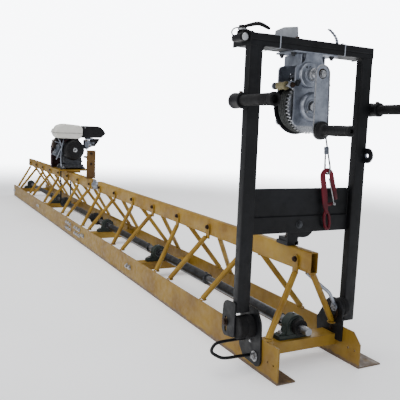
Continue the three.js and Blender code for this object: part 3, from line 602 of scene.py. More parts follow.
ferrule = Piece("rope_ferrule")
ferrule_top, ferrule_foot = Vector((2.1005, ROPE_Y, 0.69)), Vector((2.103, ROPE_Y, 0.666))
section = rounded(-0.0098, 0.0098, -0.0052, 0.0052, 0.005, 6)
rows = []
for t, grow in ((0.0, 0.82), (0.1, 1.0), (0.46, 1.0), (0.5, 0.92), (0.54, 1.0), (0.9, 1.0), (1.0, 0.82)):
    centre = ferrule_foot.lerp(ferrule_top, t)
    rows.append([(centre.x + u * grow, centre.y + v * grow, centre.z) for u, v in section])
ferrule = ferrule.loft(rows).done(ALLOY, bevel=0.0005)

thimble = Piece("rope_thimble")
bend = [
    (HOOK_X + 0.0088, 0.634), (HOOK_X + 0.009, 0.6154),
    (HOOK_X + 0.0063, 0.6091), (HOOK_X, 0.6065), (HOOK_X - 0.0063, 0.6091),
    (HOOK_X - 0.009, 0.6154), (HOOK_X - 0.0088, 0.634),
]
thimble.tube(smooth_path([(x, ROPE_Y, z) for x, z in bend], 5), 0.0011, 10)
thimble = thimble.done(BRIGHT, bevel=0)


# ---------------------------------------------------------------- hook and latch
def hung(x, y, z):
    """A point given from the middle of the hook's bowl, in the tilted plane that it hangs in."""
    return Vector((
        HOOK_X + x,
        ROPE_Y + y * math.cos(HOOK_TILT) - z * math.sin(HOOK_TILT),
        HOOK_Z + y * math.sin(HOOK_TILT) + z * math.cos(HOOK_TILT),
    ))


def oval_tube(piece, centres, sizes, steps=20):
    """A tube in the hook's plane with an oval section: sizes are (half width in the plane, half depth)."""
    rings = []
    for i, (y, z) in enumerate(centres):
        y0, z0 = centres[max(i - 1, 0)]
        y1, z1 = centres[min(i + 1, len(centres) - 1)]
        length = math.hypot(y1 - y0, z1 - z0)
        side = (-(z1 - z0) / length, (y1 - y0) / length)
        half, deep = sizes[i]
        turns = [(math.cos(a), math.sin(a)) for a in (2 * math.pi * k / steps for k in range(steps))]
        rings.append([
            piece.bm.verts.new(hung(deep * sin, y + side[0] * half * cos, z + side[1] * half * cos))
            for cos, sin in turns
        ])
    skin(piece.bm, rings)
    piece.bm.faces.new(list(reversed(rings[0])))
    piece.bm.faces.new(rings[-1])
    return piece


def flat_path(points, per=6):
    return [(p.x, p.y) for p in smooth_path([(y, z, 0) for y, z in points], per)]


forged = Piece("forged_hook")
line = flat_path([
    (-0.0135, -0.117), (-0.014, -0.104), (-0.0148, -0.088), (-0.0148, -0.06), (-0.0152, -0.03), (-0.0166, 0.0),
    (-0.0126, 0.0126), (0.0, 0.0178), (0.0126, 0.0126), (0.018, 0.0), (0.0212, -0.026), (0.025, -0.052),
    (0.0288, -0.074), (0.0302, -0.0835),
])
sizes = []
for i in range(len(line)):
    t = i / (len(line) - 1)
    half = 0.0076
    if 0.06 < t < 0.44:
        half += 0.003 * math.sin(math.pi * (t - 0.06) / 0.38) ** 0.5
    if t > 0.86:
        half -= 0.0024 * (t - 0.86) / 0.14
    if t < 0.1:
        half -= 0.0014 * (0.1 - t) / 0.1
    deep = 0.0066 if t < 0.88 else 0.0066 - 0.0036 * (t - 0.88) / 0.12
    sizes.append((half, deep))
oval_tube(forged, line, sizes)
ear = flat_path([(-0.0175, -0.093), (-0.006, -0.0935), (0.006, -0.094), (0.0142, -0.094)], 4)
oval_tube(forged, ear, [(0.0062 - 0.0014 * i / (len(ear) - 1), 0.005) for i in range(len(ear))])
collar = flat_path([(-0.0122, -0.103), (-0.0128, -0.11), (-0.0135, -0.1175)], 3)
oval_tube(forged, collar, [(0.0066, 0.0058)] * len(collar))
oval = [
    (-0.014 + 0.0104 * math.sin(a), -0.144 - 0.0285 * math.cos(a))
    for a in (2 * math.pi * k / 48 for k in range(49))
]
eye_rings = []
for i in range(48):
    y, z = oval[i]
    y0, z0 = oval[i - 1 if i else 47]
    y1, z1 = oval[i + 1]
    length = math.hypot(y1 - y0, z1 - z0)
    side = (-(z1 - z0) / length, (y1 - y0) / length)
    eye_rings.append([
        forged.bm.verts.new(hung(0.0056 * math.sin(a), y + side[0] * 0.0045 * math.cos(a),
                                 z + side[1] * 0.0052 * math.cos(a)))
        for a in (2 * math.pi * k / 18 for k in range(18))
    ])
skin(forged.bm, eye_rings, closed=True)
forged.done(RED, "hook", 0, angle=60, replaces=("winch_hook",))

latch = Piece("hook_latch_spring")
PIVOT = (0.014, -0.094)
latch.ring(hung(0.0064, *PIVOT), hung(0.0118, *PIVOT), 0.0048, 0.0023, 28, 0.0005)
latch.rod(hung(-0.0066, *PIVOT), hung(0.0124, *PIVOT), 0.0022, 20, 0.0004)
latch.tube(smooth_path([
    hung(0.009, 0.012, -0.0905), hung(0.0094, 0.01, -0.07), hung(0.0092, 0.0062, -0.044),
    hung(0.009, 0.0028, -0.022), hung(0.009, 0.0004, -0.0075),
], 6), 0.0019, 14)
latch.done(BOLT, "latch", 0, replaces=("hook_latch",), slot="shaft_steel")


def tube_section(piece, outer, inner, start, end, axis="X"):
    """A hollow bar: two outlines with the same number of points, joined at both ends."""
    loops = [
        [piece.bm.verts.new(plane_point(axis, u, v, t)) for u, v in outline]
        for outline, t in ((outer, start), (outer, end), (inner, end), (inner, start))
    ]
    skin(piece.bm, loops, closed=True, turned=True)
    return piece


# ---------------------------------------------------------------- truss sections
BRACE_PITCH = 0.292
BRACE_R = 0.01
NEAR_LEFT_SHIFT = (0.057, -0.075, -0.075, 0.075, -0.075, 0.075, -0.075, 0.075)
NEAR_RIGHT_SHIFT = (-0.04, 0.085, -0.12, 0.075, -0.075, 0.075, -0.075, 0.075)
FAR_SHIFT = (-0.075, 0.075, -0.075, 0.075, -0.075, 0.075, -0.075, 0.075)
CHORD_HALF = 0.014
WEB_TOP = high("rear_blade_near", 2)
CHORD_LOW = 0.306
CHORD_HIGH = 0.372
CHORD_MID = (CHORD_LOW + CHORD_HIGH) / 2
NEAR_END = high("front_blade_near", 0)
FAR_END = low("front_blade_far", 0)
LEFT_WEB = low("front_blade_near", 1)
RIGHT_WEB = low("rear_blade_near", 1)
FOOT_Y = 0.145


def chord(name, x0, x1, node, wall=0.003):
    """The rectangular tube along the top of one truss half."""
    piece = Piece(name)
    outer = rounded(-CHORD_HALF, CHORD_HALF, CHORD_LOW, CHORD_HIGH, 0.0035, 3)
    inner = rounded(-CHORD_HALF + wall, CHORD_HALF - wall, CHORD_LOW + wall, CHORD_HIGH - wall, 0.0015, 3)
    tube_section(piece, outer, inner, x0, x1)
    return piece.done(YELLOW, bevel=0.0004, replaces=(node,))


def weld_bead(piece, points, radius=0.003):
    """A rippled bead along a path."""
    path = smooth_path(points, 6)
    sizes = [radius * (0.9 + 0.25 * math.sin(2.4 * i)) for i in range(len(path))]
    return piece.tube(path, sizes, 8)


def braces(name, first_x, shifts, side):
    """Round braces, pressed flat where they lie on the chord, with a weld round each foot."""
    piece = Piece(name)
    for i, shift in enumerate(shifts):
        x = first_x - i * BRACE_PITCH
        top = Vector((x, side * (CHORD_HALF + 0.0045), CHORD_MID - 0.004))
        knee = Vector((x + 0.12 * shift, side * (CHORD_HALF + 0.01), CHORD_LOW - 0.01))
        foot = Vector((x + shift, side * FOOT_Y, WEB_TOP + 0.009))
        ear = [
            (x - 0.012, CHORD_LOW - 0.014), (x + 0.012, CHORD_LOW - 0.014),
            *arc(x, CHORD_MID, 0.0135, 0, 180, 8),
        ]
        start, end = sorted((side * (CHORD_HALF + GAP), side * (CHORD_HALF + 0.0065)))
        piece.prism(ear, start, end, "Y")
        piece.tube([knee + (knee - foot).normalized() * 0.004, knee, foot, foot + (foot - knee).normalized() * 0.003],
                   [0.0062, BRACE_R, BRACE_R, BRACE_R * 0.8], 16)
        bead = [
            foot + Vector((0.0135 * math.cos(a), 0.0115 * math.sin(a), -0.0045))
            for a in (2 * math.pi * k / 8 for k in range(9))
        ]
        weld_bead(piece, bead, 0.0026)
    return piece.done(YELLOW, bevel=0.0006)


def chord_bolts(name, first_x, count, side):
    """A bolt through each brace ear, with its thread showing."""
    piece = Piece(name)
    for i in range(count):
        x = first_x - i * BRACE_PITCH
        seat = (x, side * (CHORD_HALF + 0.0066), CHORD_MID)
        piece.hex(seat, (0, side, 0), 0.0085, 0.0075)
        piece.rod((x, side * (CHORD_HALF + 0.0135), CHORD_MID), (x, side * (CHORD_HALF + 0.0165), CHORD_MID),
                  0.0048, 14, 0.0008)
    return piece.done(DARK_BOLT, bevel=0.0004)


X0 = NEAR_END - 2.286  # where the two truss halves meet
chord("near_chord_tube", X0 + 0.062, NEAR_END - 0.057, "near_truss")
chord("far_chord_tube", FAR_END + 0.015, X0 - 0.062, "far_truss")
for label, first_left, first_right, left_shift, right_shift in (
    ("near", X0 + 2.16, X0 + 2.2, NEAR_LEFT_SHIFT, NEAR_RIGHT_SHIFT),
    ("far", X0 - 0.11, X0 - 0.11, FAR_SHIFT, FAR_SHIFT),
):
    braces(f"{label}_front_braces", first_left, left_shift, -1)
    braces(f"{label}_rear_braces", first_right, right_shift, 1)
    chord_bolts(f"{label}_front_chord_bolts", first_left, len(left_shift), -1)
    chord_bolts(f"{label}_rear_chord_bolts", first_right, len(right_shift), 1)

THREAD_PITCH, THREAD_TURNS = 0.0022, 26
for side, label in ((-1, "far"), (1, "near")):
    end = X0 + side * 0.062
    screw = Piece(f"{label}_chord_screw")
    screw.box((min(end, end - side * 0.016), -0.0105, CHORD_LOW + 0.0035),
              (max(end, end - side * 0.016), 0.0105, CHORD_HIGH - 0.0035))
    profile = [(0, 0)]
    for turn in range(THREAD_TURNS):
        profile += [(0.008, THREAD_PITCH * turn), (0.009, THREAD_PITCH * turn + 0.0011)]
    profile.append((0, THREAD_PITCH * THREAD_TURNS))
    screw.lathe(profile, (end, 0, CHORD_MID), (-side, 0, 0), 24)
    screw.hex((end - side * 0.001, 0, CHORD_MID), (-side, 0, 0), 0.017, 0.011)
    screw.done(ZINC, bevel=0.0003)

turn = Piece("turnbuckle_body_visual")
turn_x = (low("turnbuckle", 0), high("turnbuckle", 0))
mid_x = sum(turn_x) / 2
half = (turn_x[1] - turn_x[0]) / 2
turn.lathe([
    (0.0097, -half), (0.0165, -half), (0.0165, -half + 0.016), (0.0185, -half + 0.018),
    (0.0185, -0.019), (0.0236, -0.016), (0.0238, 0.016), (0.0185, 0.019), (0.0185, half - 0.018),
    (0.0165, half - 0.016), (0.0165, half), (0.0097, half),
], (mid_x, 0, CHORD_MID), "X", 36)
for quarter in range(3):
    angle = math.radians(20 + 120 * quarter)
    offset = Vector((0, math.cos(angle), math.sin(angle)))
    centre = Vector((mid_x, 0, CHORD_MID))
    turn.rod(centre + offset * 0.0205, centre + offset * 0.0246, 0.0052, 16, 0.0006)
turn.done(ZINC, "turnbuckle_body", 0.0005, replaces=("turnbuckle",))

# blades and cross members keep their CAD shape; their fasteners are added
for node in ("front_blade_near", "rear_blade_near", "front_blade_far", "rear_blade_far"):
    finish_node(node, BLADE, 0.0012)
for i in range(1, 6):
    finish_node(f"cross_member_{i}", YELLOW, 0.0012)


def blade_bolts(name, web_y, side, places):
    """Hexagon heads on the outside of a web, at (x, z) places."""
    piece = Piece(name)
    for x, z in places:
        piece.hex((x, web_y + side * GAP, z), (0, side, 0), 0.011, 0.008)
        piece.rod((x, web_y + side * 0.007, z), (x, web_y + side * 0.0125, z), 0.0056, 14, 0.0008)
    return piece.done(BOLT, bevel=0.0004)


cross_x = [middle(f"cross_member_{i}", 0) for i in range(1, 6)]
member_places = [(x + dx, 0.058) for x in cross_x[1:] for dx in (-0.018, 0.018)]
splice_places = [(X0 + dx, z) for dx in (-0.16, -0.11, -0.06, 0.06, 0.11, 0.16) for z in (0.045, 0.08)]
blade_bolts("front_blade_bolts", LEFT_WEB, -1, member_places + splice_places)
blade_bolts("rear_blade_bolts", RIGHT_WEB + 0.005, 1, member_places + splice_places)

# the near cross member bolts to the inner face of each web
inner = Piece("near_member_end_bolts")
x = cross_x[0] + 0.012
inner.hex((x, RIGHT_WEB - GAP, 0.094), (0, -1, 0), 0.0092, 0.007)
inner.rod((x, RIGHT_WEB - 0.007, 0.094), (x, RIGHT_WEB - 0.012, 0.094), 0.0052, 14, 0.0008)
inner.done(DARK_BOLT, bevel=0.0004)

# welds along the ends of each cross member
for i, x in enumerate(cross_x, 1):
    bead = Piece(f"cross_member_weld_{i}")
    for side, y in ((1, LEFT_WEB + 0.006), (-1, RIGHT_WEB - 0.001)):
        weld_bead(bead, [(x - 0.029 + 0.0145 * k, y, high(f"cross_member_{i}", 2) + 0.0008) for k in range(5)], 0.0028)
    bead.done(YELLOW, bevel=0)


# ---------------------------------------------------------------- bearings and shafts
SHAFT_Z = 0.12
SHAFT_R = 0.0125


def pillow_block(index):
    """A cast bearing housing, and its insert with the bolts that hold it down."""
    node = f"pillow_block_{index}"
    x = middle(node, 0)
    base = low(node, 2)
    piece = Piece(f"{node}_housing")
    piece.prism(rounded(x - 0.019, x + 0.019, -0.066, 0.066, 0.009, 5), base, base + 0.013, "Z")
    for side in (-1, 1):
        piece.prism([
            (side * 0.033, base + 0.013), (side * 0.066, base + 0.013), (side * 0.06, base + 0.017),
            (side * 0.04, base + 0.022), (side * 0.03, base + 0.05),
        ], x - 0.012, x + 0.012)
    piece.prism([(-0.034, base + 0.01), (0.034, base + 0.01), *arc(0, SHAFT_Z, 0.0345, -12, 192, 28)],
                x - 0.0165, x - 0.0165 + 0.033)
    piece.ring((x - 0.0195, 0, SHAFT_Z), (x + 0.0195, 0, SHAFT_Z), 0.0285, 0.0215, 44, 0.0015)
    piece.rod((x, 0, SHAFT_Z + 0.032), (x, 0, SHAFT_Z + 0.0365), 0.004, 16, 0.0006)
    piece.done(CAST, bevel=0.0016, replaces=(node,))
    trim = Piece(f"{node}_insert")
    for side in (-1, 1):
        trim.ring((x + side * 0.016, 0, SHAFT_Z), (x + side * 0.018, 0, SHAFT_Z), 0.0212, 0.0158, 40, 0.0004)
        trim.hex((x, side * 0.05, base + 0.0135), "Z", 0.0095, 0.0085)
        trim.rod((x, side * 0.05, base + 0.022), (x, side * 0.05, base + 0.0265), 0.0052, 16, 0.0008)
    trim.rod((x, 0, SHAFT_Z + 0.0362), (x, 0, SHAFT_Z + 0.0385), 0.0024, 14, 0.0004)
    trim.done(BOLT, bevel=0.0004)


for index in range(1, 6):
    pillow_block(index)

collars = Piece("shaft_locking_collars")
for index, x in enumerate(cross_x):
    for side in ((-1,) if index == 0 else (-1, 1)):
        collars.ring((x + side * 0.0198, 0, SHAFT_Z), (x + side * 0.0318, 0, SHAFT_Z), 0.0205, 0.0127, 36, 0.001)
        collars.rod((x + side * 0.0258, 0, SHAFT_Z + 0.0195), (x + side * 0.0258, 0, SHAFT_Z + 0.0215), 0.003, 12)
collars.done(STEEL, "vibrator_shaft", 0.0004)
end_x = cross_x[0] + 0.0228
end_collar = Piece("near_end_collar")
end_collar.lathe([
    (0.0128, 0), (0.0235, 0), (0.0258, 0.0022), (0.0258, 0.008), (0.0246, 0.0092), (0.0246, 0.0112),
    (0.0258, 0.0124), (0.0258, 0.019), (0.024, 0.0208), (0.0185, 0.0208), (0.017, 0.019), (0.0128, 0.019),
], (end_x, 0, SHAFT_Z), "X", 56)
end_collar.done(RUBBER, "vibrator_shaft", 0.0004)


def shaft(name, x0, x1, node, sleeves):
    """A bright shaft; each sleeve is an off-centre weight: its ends, radius and offset."""
    piece = Piece(f"{name}_bar")
    piece.rod((x0, 0, SHAFT_Z), (x1, 0, SHAFT_Z), SHAFT_R, 36, 0.0015)
    piece.done(SHAFT_STEEL, "vibrator_shaft", 0, replaces=(node,))
    cover = Piece(f"{name}_weights")
    for a, b, radius, offset in sleeves:
        cover.rod((X0 + a, 0, SHAFT_Z - offset), (X0 + b, 0, SHAFT_Z - offset), radius, 40, 0.002)
        for end, way in ((a, 1), (b, -1)):
            at = X0 + end + way * 0.014
            cover.hex((at, 0, SHAFT_Z - offset + radius * 0.97), "Z", 0.005, 0.005)
    cover.done(STEEL, "vibrator_shaft", 0.0006)


shaft("near_shaft", low("near_eccentric_shaft", 0), high("near_eccentric_shaft", 0), "near_eccentric_shaft",
      ((1.65, 2.08, 0.019, 0.003), (1.33, 1.56, 0.023, 0.004), (1.12, 1.3, 0.019, 0.003), (0.32, 0.93, 0.019, 0.003)))
shaft("far_shaft", low("far_eccentric_shaft", 0), high("far_eccentric_shaft", 0), "far_eccentric_shaft",
      ((-0.7, -0.15, 0.019, 0.003), (-2.05, -1.25, 0.019, 0.003)))

coupling = Piece("coupling_visual")
cx = middle("shaft_coupling", 0)
coupling.lathe([
    (0.0129, -0.07), (0.025, -0.07), (0.027, -0.067), (0.027, -0.03), (0.036, -0.024), (0.038, -0.018),
    (0.038, -0.006), (0.0355, -0.003), (0.0355, 0.003), (0.038, 0.006), (0.038, 0.018), (0.036, 0.024),
    (0.027, 0.03), (0.027, 0.067), (0.025, 0.07), (0.0129, 0.07),
], (cx, 0, SHAFT_Z), "X", 44)
for k in range(6):
    coupling.hex((cx + 0.024, *polar((0, SHAFT_Z), 0.032, 60 * k + 10)), "X", 0.0038, 0.004)
coupling.done(RUBBER, "vibrator_shaft", 0.0005, replaces=("shaft_coupling",))


BELT_X = middle("drive_belt", 0)
ENG_Z = middle("engine_pulley", 2)
LOWER_PULLEY_R = 0.04
UPPER_PULLEY_R = 0.044


def pulley(name, node, centre_z, body, bore, radius, extra=()):
    """A turned pulley with one V groove; extra is the ends and radius of plain rods on its axis."""
    x = BELT_X
    piece = Piece(name)
    piece.lathe([
        (bore, -0.015), (0.02, -0.015), (0.021, -0.01), (radius - 0.014, -0.01), (radius - 0.012, -0.015),
        (radius - 0.001, -0.015), (radius, -0.014), (radius, -0.009), (radius - 0.009, -0.004),
        (radius - 0.009, 0.004), (radius, 0.009), (radius, 0.014), (radius - 0.001, 0.015),
        (radius - 0.012, 0.015), (radius - 0.014, 0.01), (0.021, 0.01), (0.02, 0.015), (bore, 0.015),
    ], (x, 0, centre_z), "X", 48)
    for a, b, r in extra:
        piece.rod((a, 0, centre_z), (b, 0, centre_z), r, 30, 0.001)
    return piece.done(STEEL, body, 0.0003, replaces=(node,))


pulley("shaft_pulley_visual", "shaft_pulley", SHAFT_Z, "vibrator_shaft", 0.0128, LOWER_PULLEY_R)
pulley("engine_pulley_visual", "engine_pulley", ENG_Z, "engine_output", 0.0095, UPPER_PULLEY_R,
       ((low("engine_pulley", 0), high("engine_pulley", 0), 0.0099),))


# ---------------------------------------------------------------- winch frame
FRAME_FRONT = high("top_bar", 0)
FRAME_BACK = FRAME_FRONT - 0.03
LEFT_OUT = low("top_bar", 1)
RIGHT_OUT = high("top_bar", 1)
POST_W = 0.045
SOCKET_Z = middle("left_handle", 2)
SOCKET_R = 0.023
SOCKET_X = (FRAME_FRONT - 0.03, FRAME_FRONT + 0.02)
HANDLE_R = 0.016


def post(name, y0, node, handle_y, extra=None):
    """A rectangular tube with a welded handle socket on its outer face."""
    y1 = y0 + POST_W
    z0, z1 = low(node, 2), high(node, 2)
    piece = Piece(name)
    wall = 0.003
    tube_section(
        piece,
        rounded(FRAME_BACK, FRAME_FRONT, y0, y1, 0.0045, 4),
        rounded(FRAME_BACK + wall, FRAME_FRONT - wall, y0 + wall, y1 - wall, 0.002, 4),
        z0, z1, "Z",
    )
    x0, x1 = SOCKET_X
    bore = HANDLE_R + 0.0004
    piece.lathe([
        (bore, 0), (SOCKET_R - 0.001, 0), (SOCKET_R, 0.001), (SOCKET_R, 0.01), (SOCKET_R - 0.001, 0.012),
        (SOCKET_R - 0.001, x1 - x0 - 0.012), (SOCKET_R, x1 - x0 - 0.01), (SOCKET_R, x1 - x0 - 0.001),
        (SOCKET_R - 0.001, x1 - x0), (bore, x1 - x0),
    ], (x0, handle_y, SOCKET_Z), "X", 44)
    outer = y0 if handle_y < y0 else y1
    side = 1 if handle_y > y1 else -1
    for dz in (-0.0155, 0.0155):
        weld_bead(piece, [(FRAME_BACK + 0.001 + 0.007 * k, outer + side * 0.003, SOCKET_Z + dz) for k in range(5)],
                  0.0032)
    piece.box((FRAME_BACK + 0.003, min(outer - side * 0.001, outer + side * 0.006), SOCKET_Z - 0.013),
              (FRAME_FRONT - 0.003, max(outer - side * 0.001, outer + side * 0.006), SOCKET_Z + 0.013))
    if extra:
        extra(piece)
    piece.done(BLACK, bevel=0.0006, replaces=(node,))
    screw = Piece(f"{name}_socket_screw")
    screw.hex((x1 - 0.01, handle_y - 0.004, SOCKET_Z + SOCKET_R - 0.0028), "Z", 0.0062, 0.0062)
    screw.done(DARK_BOLT, bevel=0.0003)


EYE_X, EYE_Z = FRAME_FRONT + 0.012, 0.665


def lug(piece):
    """A drilled lifting ear on the front of the post."""
    centre = (FRAME_FRONT + 0.008, EYE_Z)
    outline = [(FRAME_FRONT - 0.002, 0.69), (FRAME_FRONT - 0.002, 0.64)] + arc(*centre, 0.025, -90, 90, 20)
    piece.prism(outline, RIGHT_OUT - 0.008, RIGHT_OUT, "Y",
                holes=[circle_hole(EYE_X, EYE_Z, 0.0092)])
    for z in (0.6425, 0.6875):
        weld_bead(piece, [(FRAME_FRONT + 0.0005 + 0.003 * k, RIGHT_OUT - 0.004, z) for k in range(3)], 0.0025)


post("left_post_tube", LEFT_OUT, "left_post", middle("left_handle", 1))
post("right_post_tube", RIGHT_OUT - POST_W, "right_post", middle("right_handle", 1), lug)

eye = Piece("lug_eye_bush")
eye.ring((EYE_X, RIGHT_OUT - 0.0085, EYE_Z), (EYE_X, RIGHT_OUT - 0.0004, EYE_Z), 0.009, 0.0066, 32, 0.0005)
eye.done(ZINC, bevel=0.0002)

bar_low, bar_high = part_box("top_bar")
bar_bottom, bar_top = bar_low[2], bar_low[2] + 0.035
bar = Piece("top_bar_channel")
lip = 0.0035
outline = [
    (bar_low[0] + 0.002, bar_top), (bar_high[0] - 0.002, bar_top), (bar_high[0], bar_top - 0.002),
    (bar_high[0], bar_top - 0.0175), (bar_high[0] - 0.0015, bar_top - 0.019), (bar_high[0] - 0.0015, bar_top - 0.0205),
    (bar_high[0], bar_top - 0.022), (bar_high[0], bar_bottom + 0.001), (bar_high[0] - 0.001, bar_bottom),
    (bar_low[0] + 0.022, bar_bottom), (bar_low[0] + 0.02, bar_bottom + 0.002), (bar_low[0] + 0.02, bar_top - lip),
    (bar_low[0] + 0.0035, bar_top - lip), (bar_low[0] + 0.0035, bar_bottom + 0.004), (bar_low[0], bar_bottom + 0.004),
    (bar_low[0], bar_top - 0.002),
]
bar.prism(outline, bar_low[1] + 0.0035, bar_high[1] - 0.0035, "Y")
for y0, y1 in ((bar_low[1], bar_low[1] + 0.0035), (bar_high[1] - 0.0035, bar_high[1])):
    bar.prism(rounded(bar_low[0], bar_high[0], bar_bottom, bar_top, 0.003, 4), y0, y1, "Y")
bar.done(BLACK, bevel=0.0007, replaces=("top_bar",))

seams = Piece("frame_corner_welds")
for y0, y1 in ((LEFT_OUT + 0.003, LEFT_OUT + POST_W - 0.003), (RIGHT_OUT - POST_W + 0.003, RIGHT_OUT - 0.003)):
    weld_bead(seams, [(FRAME_FRONT - 0.0012, y0 + (y1 - y0) * k / 4, bar_bottom - 0.001) for k in range(5)], 0.0026)
    inner = y1 + 0.003 if y0 < 0 else y0 - 0.003
    weld_bead(seams, [(FRAME_BACK + 0.002 + 0.0065 * k, inner, bar_bottom - 0.0012) for k in range(5)], 0.0026)
seams.done(BLACK, bevel=0)
fillets = Piece("frame_corner_fillets")
for y, side in ((LEFT_OUT + POST_W, 1), (RIGHT_OUT - POST_W, -1)):
    fillets.prism(
        [(y, bar_bottom), (y, bar_bottom - 0.011)]
        + [(y + side * 0.011 * (1 - math.cos(math.radians(a))), bar_bottom - 0.011 * (1 - math.sin(math.radians(a))))
           for a in range(10, 90, 10)]
        + [(y + side * 0.011, bar_bottom)],
        FRAME_BACK + 0.003, FRAME_FRONT - 0.001)
fillets.done(BLACK, bevel=0)

# cross plate: a folded pan with a stepped lower band
plate_low, plate_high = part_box("cross_plate")
px0 = plate_low[0]
step_z = 0.468
pan = Piece("cross_plate_pan")
profile = [
    (px0, 0.417), (px0 + 0.012, 0.417), (px0 + 0.012, step_z), (px0 + 0.008, step_z + 0.004),
    (px0 + 0.008, 0.5555), (px0 + 0.0065, 0.557), (px0, 0.557),
]
pan.prism(profile, plate_low[1], plate_high[1], "Y")
for y in (plate_low[1] + 0.0028, plate_high[1] - 0.0028):
    weld_bead(pan, [(px0 + 0.0095, y, 0.424 + 0.0215 * k) for k in range(7)], 0.0024)
pan.done(BLACK, bevel=0.0008, replaces=("cross_plate",))
stud = Piece("cross_plate_bolt")
stud.ring((px0 + 0.0121, 0.009, 0.442), (px0 + 0.014, 0.009, 0.442), 0.0125, 0.0066, 32, 0.0004)
stud.hex((px0 + 0.0139, 0.009, 0.442), "X", 0.0092, 0.0058)
stud.rod((px0 + 0.019, 0.009, 0.442), (px0 + 0.0219, 0.009, 0.442), 0.0058, 20, 0.0008)
stud.done(STEEL, bevel=0.0004)

# saddle between the plate and the chord
deck = low("chord_mount", 2)
saddle = Piece("chord_mount_saddle")
mx0, mx1 = low("chord_mount", 0), high("chord_mount", 0)
saddle.prism(rounded(mx0, mx1 - 0.001, -0.0238, 0.0238, 0.005, 4), deck, deck + 0.012, "Z")
saddle.prism(rounded(mx0 + 0.006, mx1 - 0.001, -0.0198, 0.0198, 0.004, 4), deck + 0.002, deck + 0.0238, "Z")
saddle.prism(
    [(-0.024, deck), (0.004, deck), (0.009, 0.389), (0.014, 0.395), (0.022, 0.398), (0.036, 0.3965),
     (0.048, 0.397), (0.058, 0.4), (0.066, 0.4055), (0.073, 0.413), (0.077, 0.421), (0.077, 0.446),
     (-0.02, 0.446), (-0.024, 0.424)],
    mx1 - 0.0077, mx1, "X")
weld_bead(saddle, [(mx1 - 0.0085, -0.018 + 0.009 * k, deck + 0.0245) for k in range(5)], 0.0024)
saddle.done(BLACK, bevel=0.0012, replaces=("chord_mount",))
studs = Piece("chord_mount_bolts")
for x, y in ((mx0 + 0.018, 0.008), (mx0 + 0.04, -0.008)):
    studs.hex((x, y, deck + 0.024), "Z", 0.0072, 0.0056)
    studs.rod((x, y, deck + 0.0295), (x, y, deck + 0.0325), 0.0042, 16, 0.0007)
studs.done(DARK_BOLT, bevel=0.0004)

# ---------------------------------------------------------------- left bracket and rubber mount
plate_y = (LEFT_OUT - 0.006, LEFT_OUT - GAP)
ox = FRAME_FRONT - 0.08


def rounded_corners(points, radius, steps=5):
    """Rounds every corner of a closed outline."""
    made = []
    count = len(points)
    for i in range(count):
        corner = Vector((*points[i], 0))
        before = (Vector((*points[i - 1], 0)) - corner)
        after = (Vector((*points[(i + 1) % count], 0)) - corner)
        reach = min(radius, before.length * 0.45, after.length * 0.45)
        a = corner + before.normalized() * reach
        b = corner + after.normalized() * reach
        for k in range(steps + 1):
            t = k / steps
            spot = a * (1 - t) ** 2 + corner * 2 * t * (1 - t) + b * t * t
            made.append((spot.x, spot.y))
    return made


def slot_hole(cx, z0, z1, radius, steps=8):
    """A hole with round ends, from z0 to z1."""
    loop = arc(cx, z1 - radius, radius, 0, 180, steps) + arc(cx, z0 + radius, radius, 180, 360, steps)
    return list(reversed(loop))


outer_plate = Piece("left_outer_bracket_plate")
outline = rounded_corners([
    (ox, 0.112), (ox + 0.014, 0.094), (ox + 0.076, 0.104), (ox + 0.076, 0.214), (ox + 0.018, 0.208),
    (ox + 0.004, 0.194),
], 0.01)
outer_plate.prism(outline, *plate_y, "Y", holes=[slot_hole(ox + 0.0245, 0.108, 0.158, 0.0055)])
outer_plate.done(BLACK, bevel=0.0008, replaces=("left_outer_bracket",))
clamp = Piece("left_bracket_slot_bolt")
by = plate_y[0]
bx = ox + 0.0245
clamp.ring((bx, by - GAP, 0.14), (bx, by - 0.0025, 0.14), 0.0135, 0.0062, 36, 0.0004)
clamp.hex((bx, by - 0.0024, 0.14), (0, -1, 0), 0.0095, 0.0068)
clamp.rod((bx, plate_y[1] - 0.004, 0.14), (bx, by - 0.0098, 0.14), 0.0052, 18, 0.0008)
clamp.done(DARK_BOLT, bevel=0.0004)


def rubber_mount(name, node, rings=4):
    """A ribbed rubber cylinder between two plates, axis along Y."""
    lo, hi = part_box(node)
    x, z = (lo[0] + hi[0]) / 2, (lo[2] + hi[2]) / 2
    radius = (hi[2] - lo[2]) / 2 - 0.0004
    length = hi[1] - lo[1]
    profile = [(0, 0), (radius - 0.003, 0), (radius, 0.0025)]
    for k in range(1, rings):
        at = length * k / rings
        profile += [(radius, at - 0.0026), (radius - 0.0016, at - 0.0012), (radius - 0.0016, at + 0.0012),
                    (radius, at + 0.0026)]
    profile += [(radius, length - 0.0025), (radius - 0.003, length), (0, length)]
    piece = Piece(name)
    piece.lathe(profile, (x, lo[1], z), "Y", 56)
    return piece.done(RUBBER, bevel=0.0006, replaces=(node,))


rubber_mount("left_mount_rubber", "left_rubber_mount", 2)
rubber_mount("right_mount_rubber", "right_rubber_mount", 2)

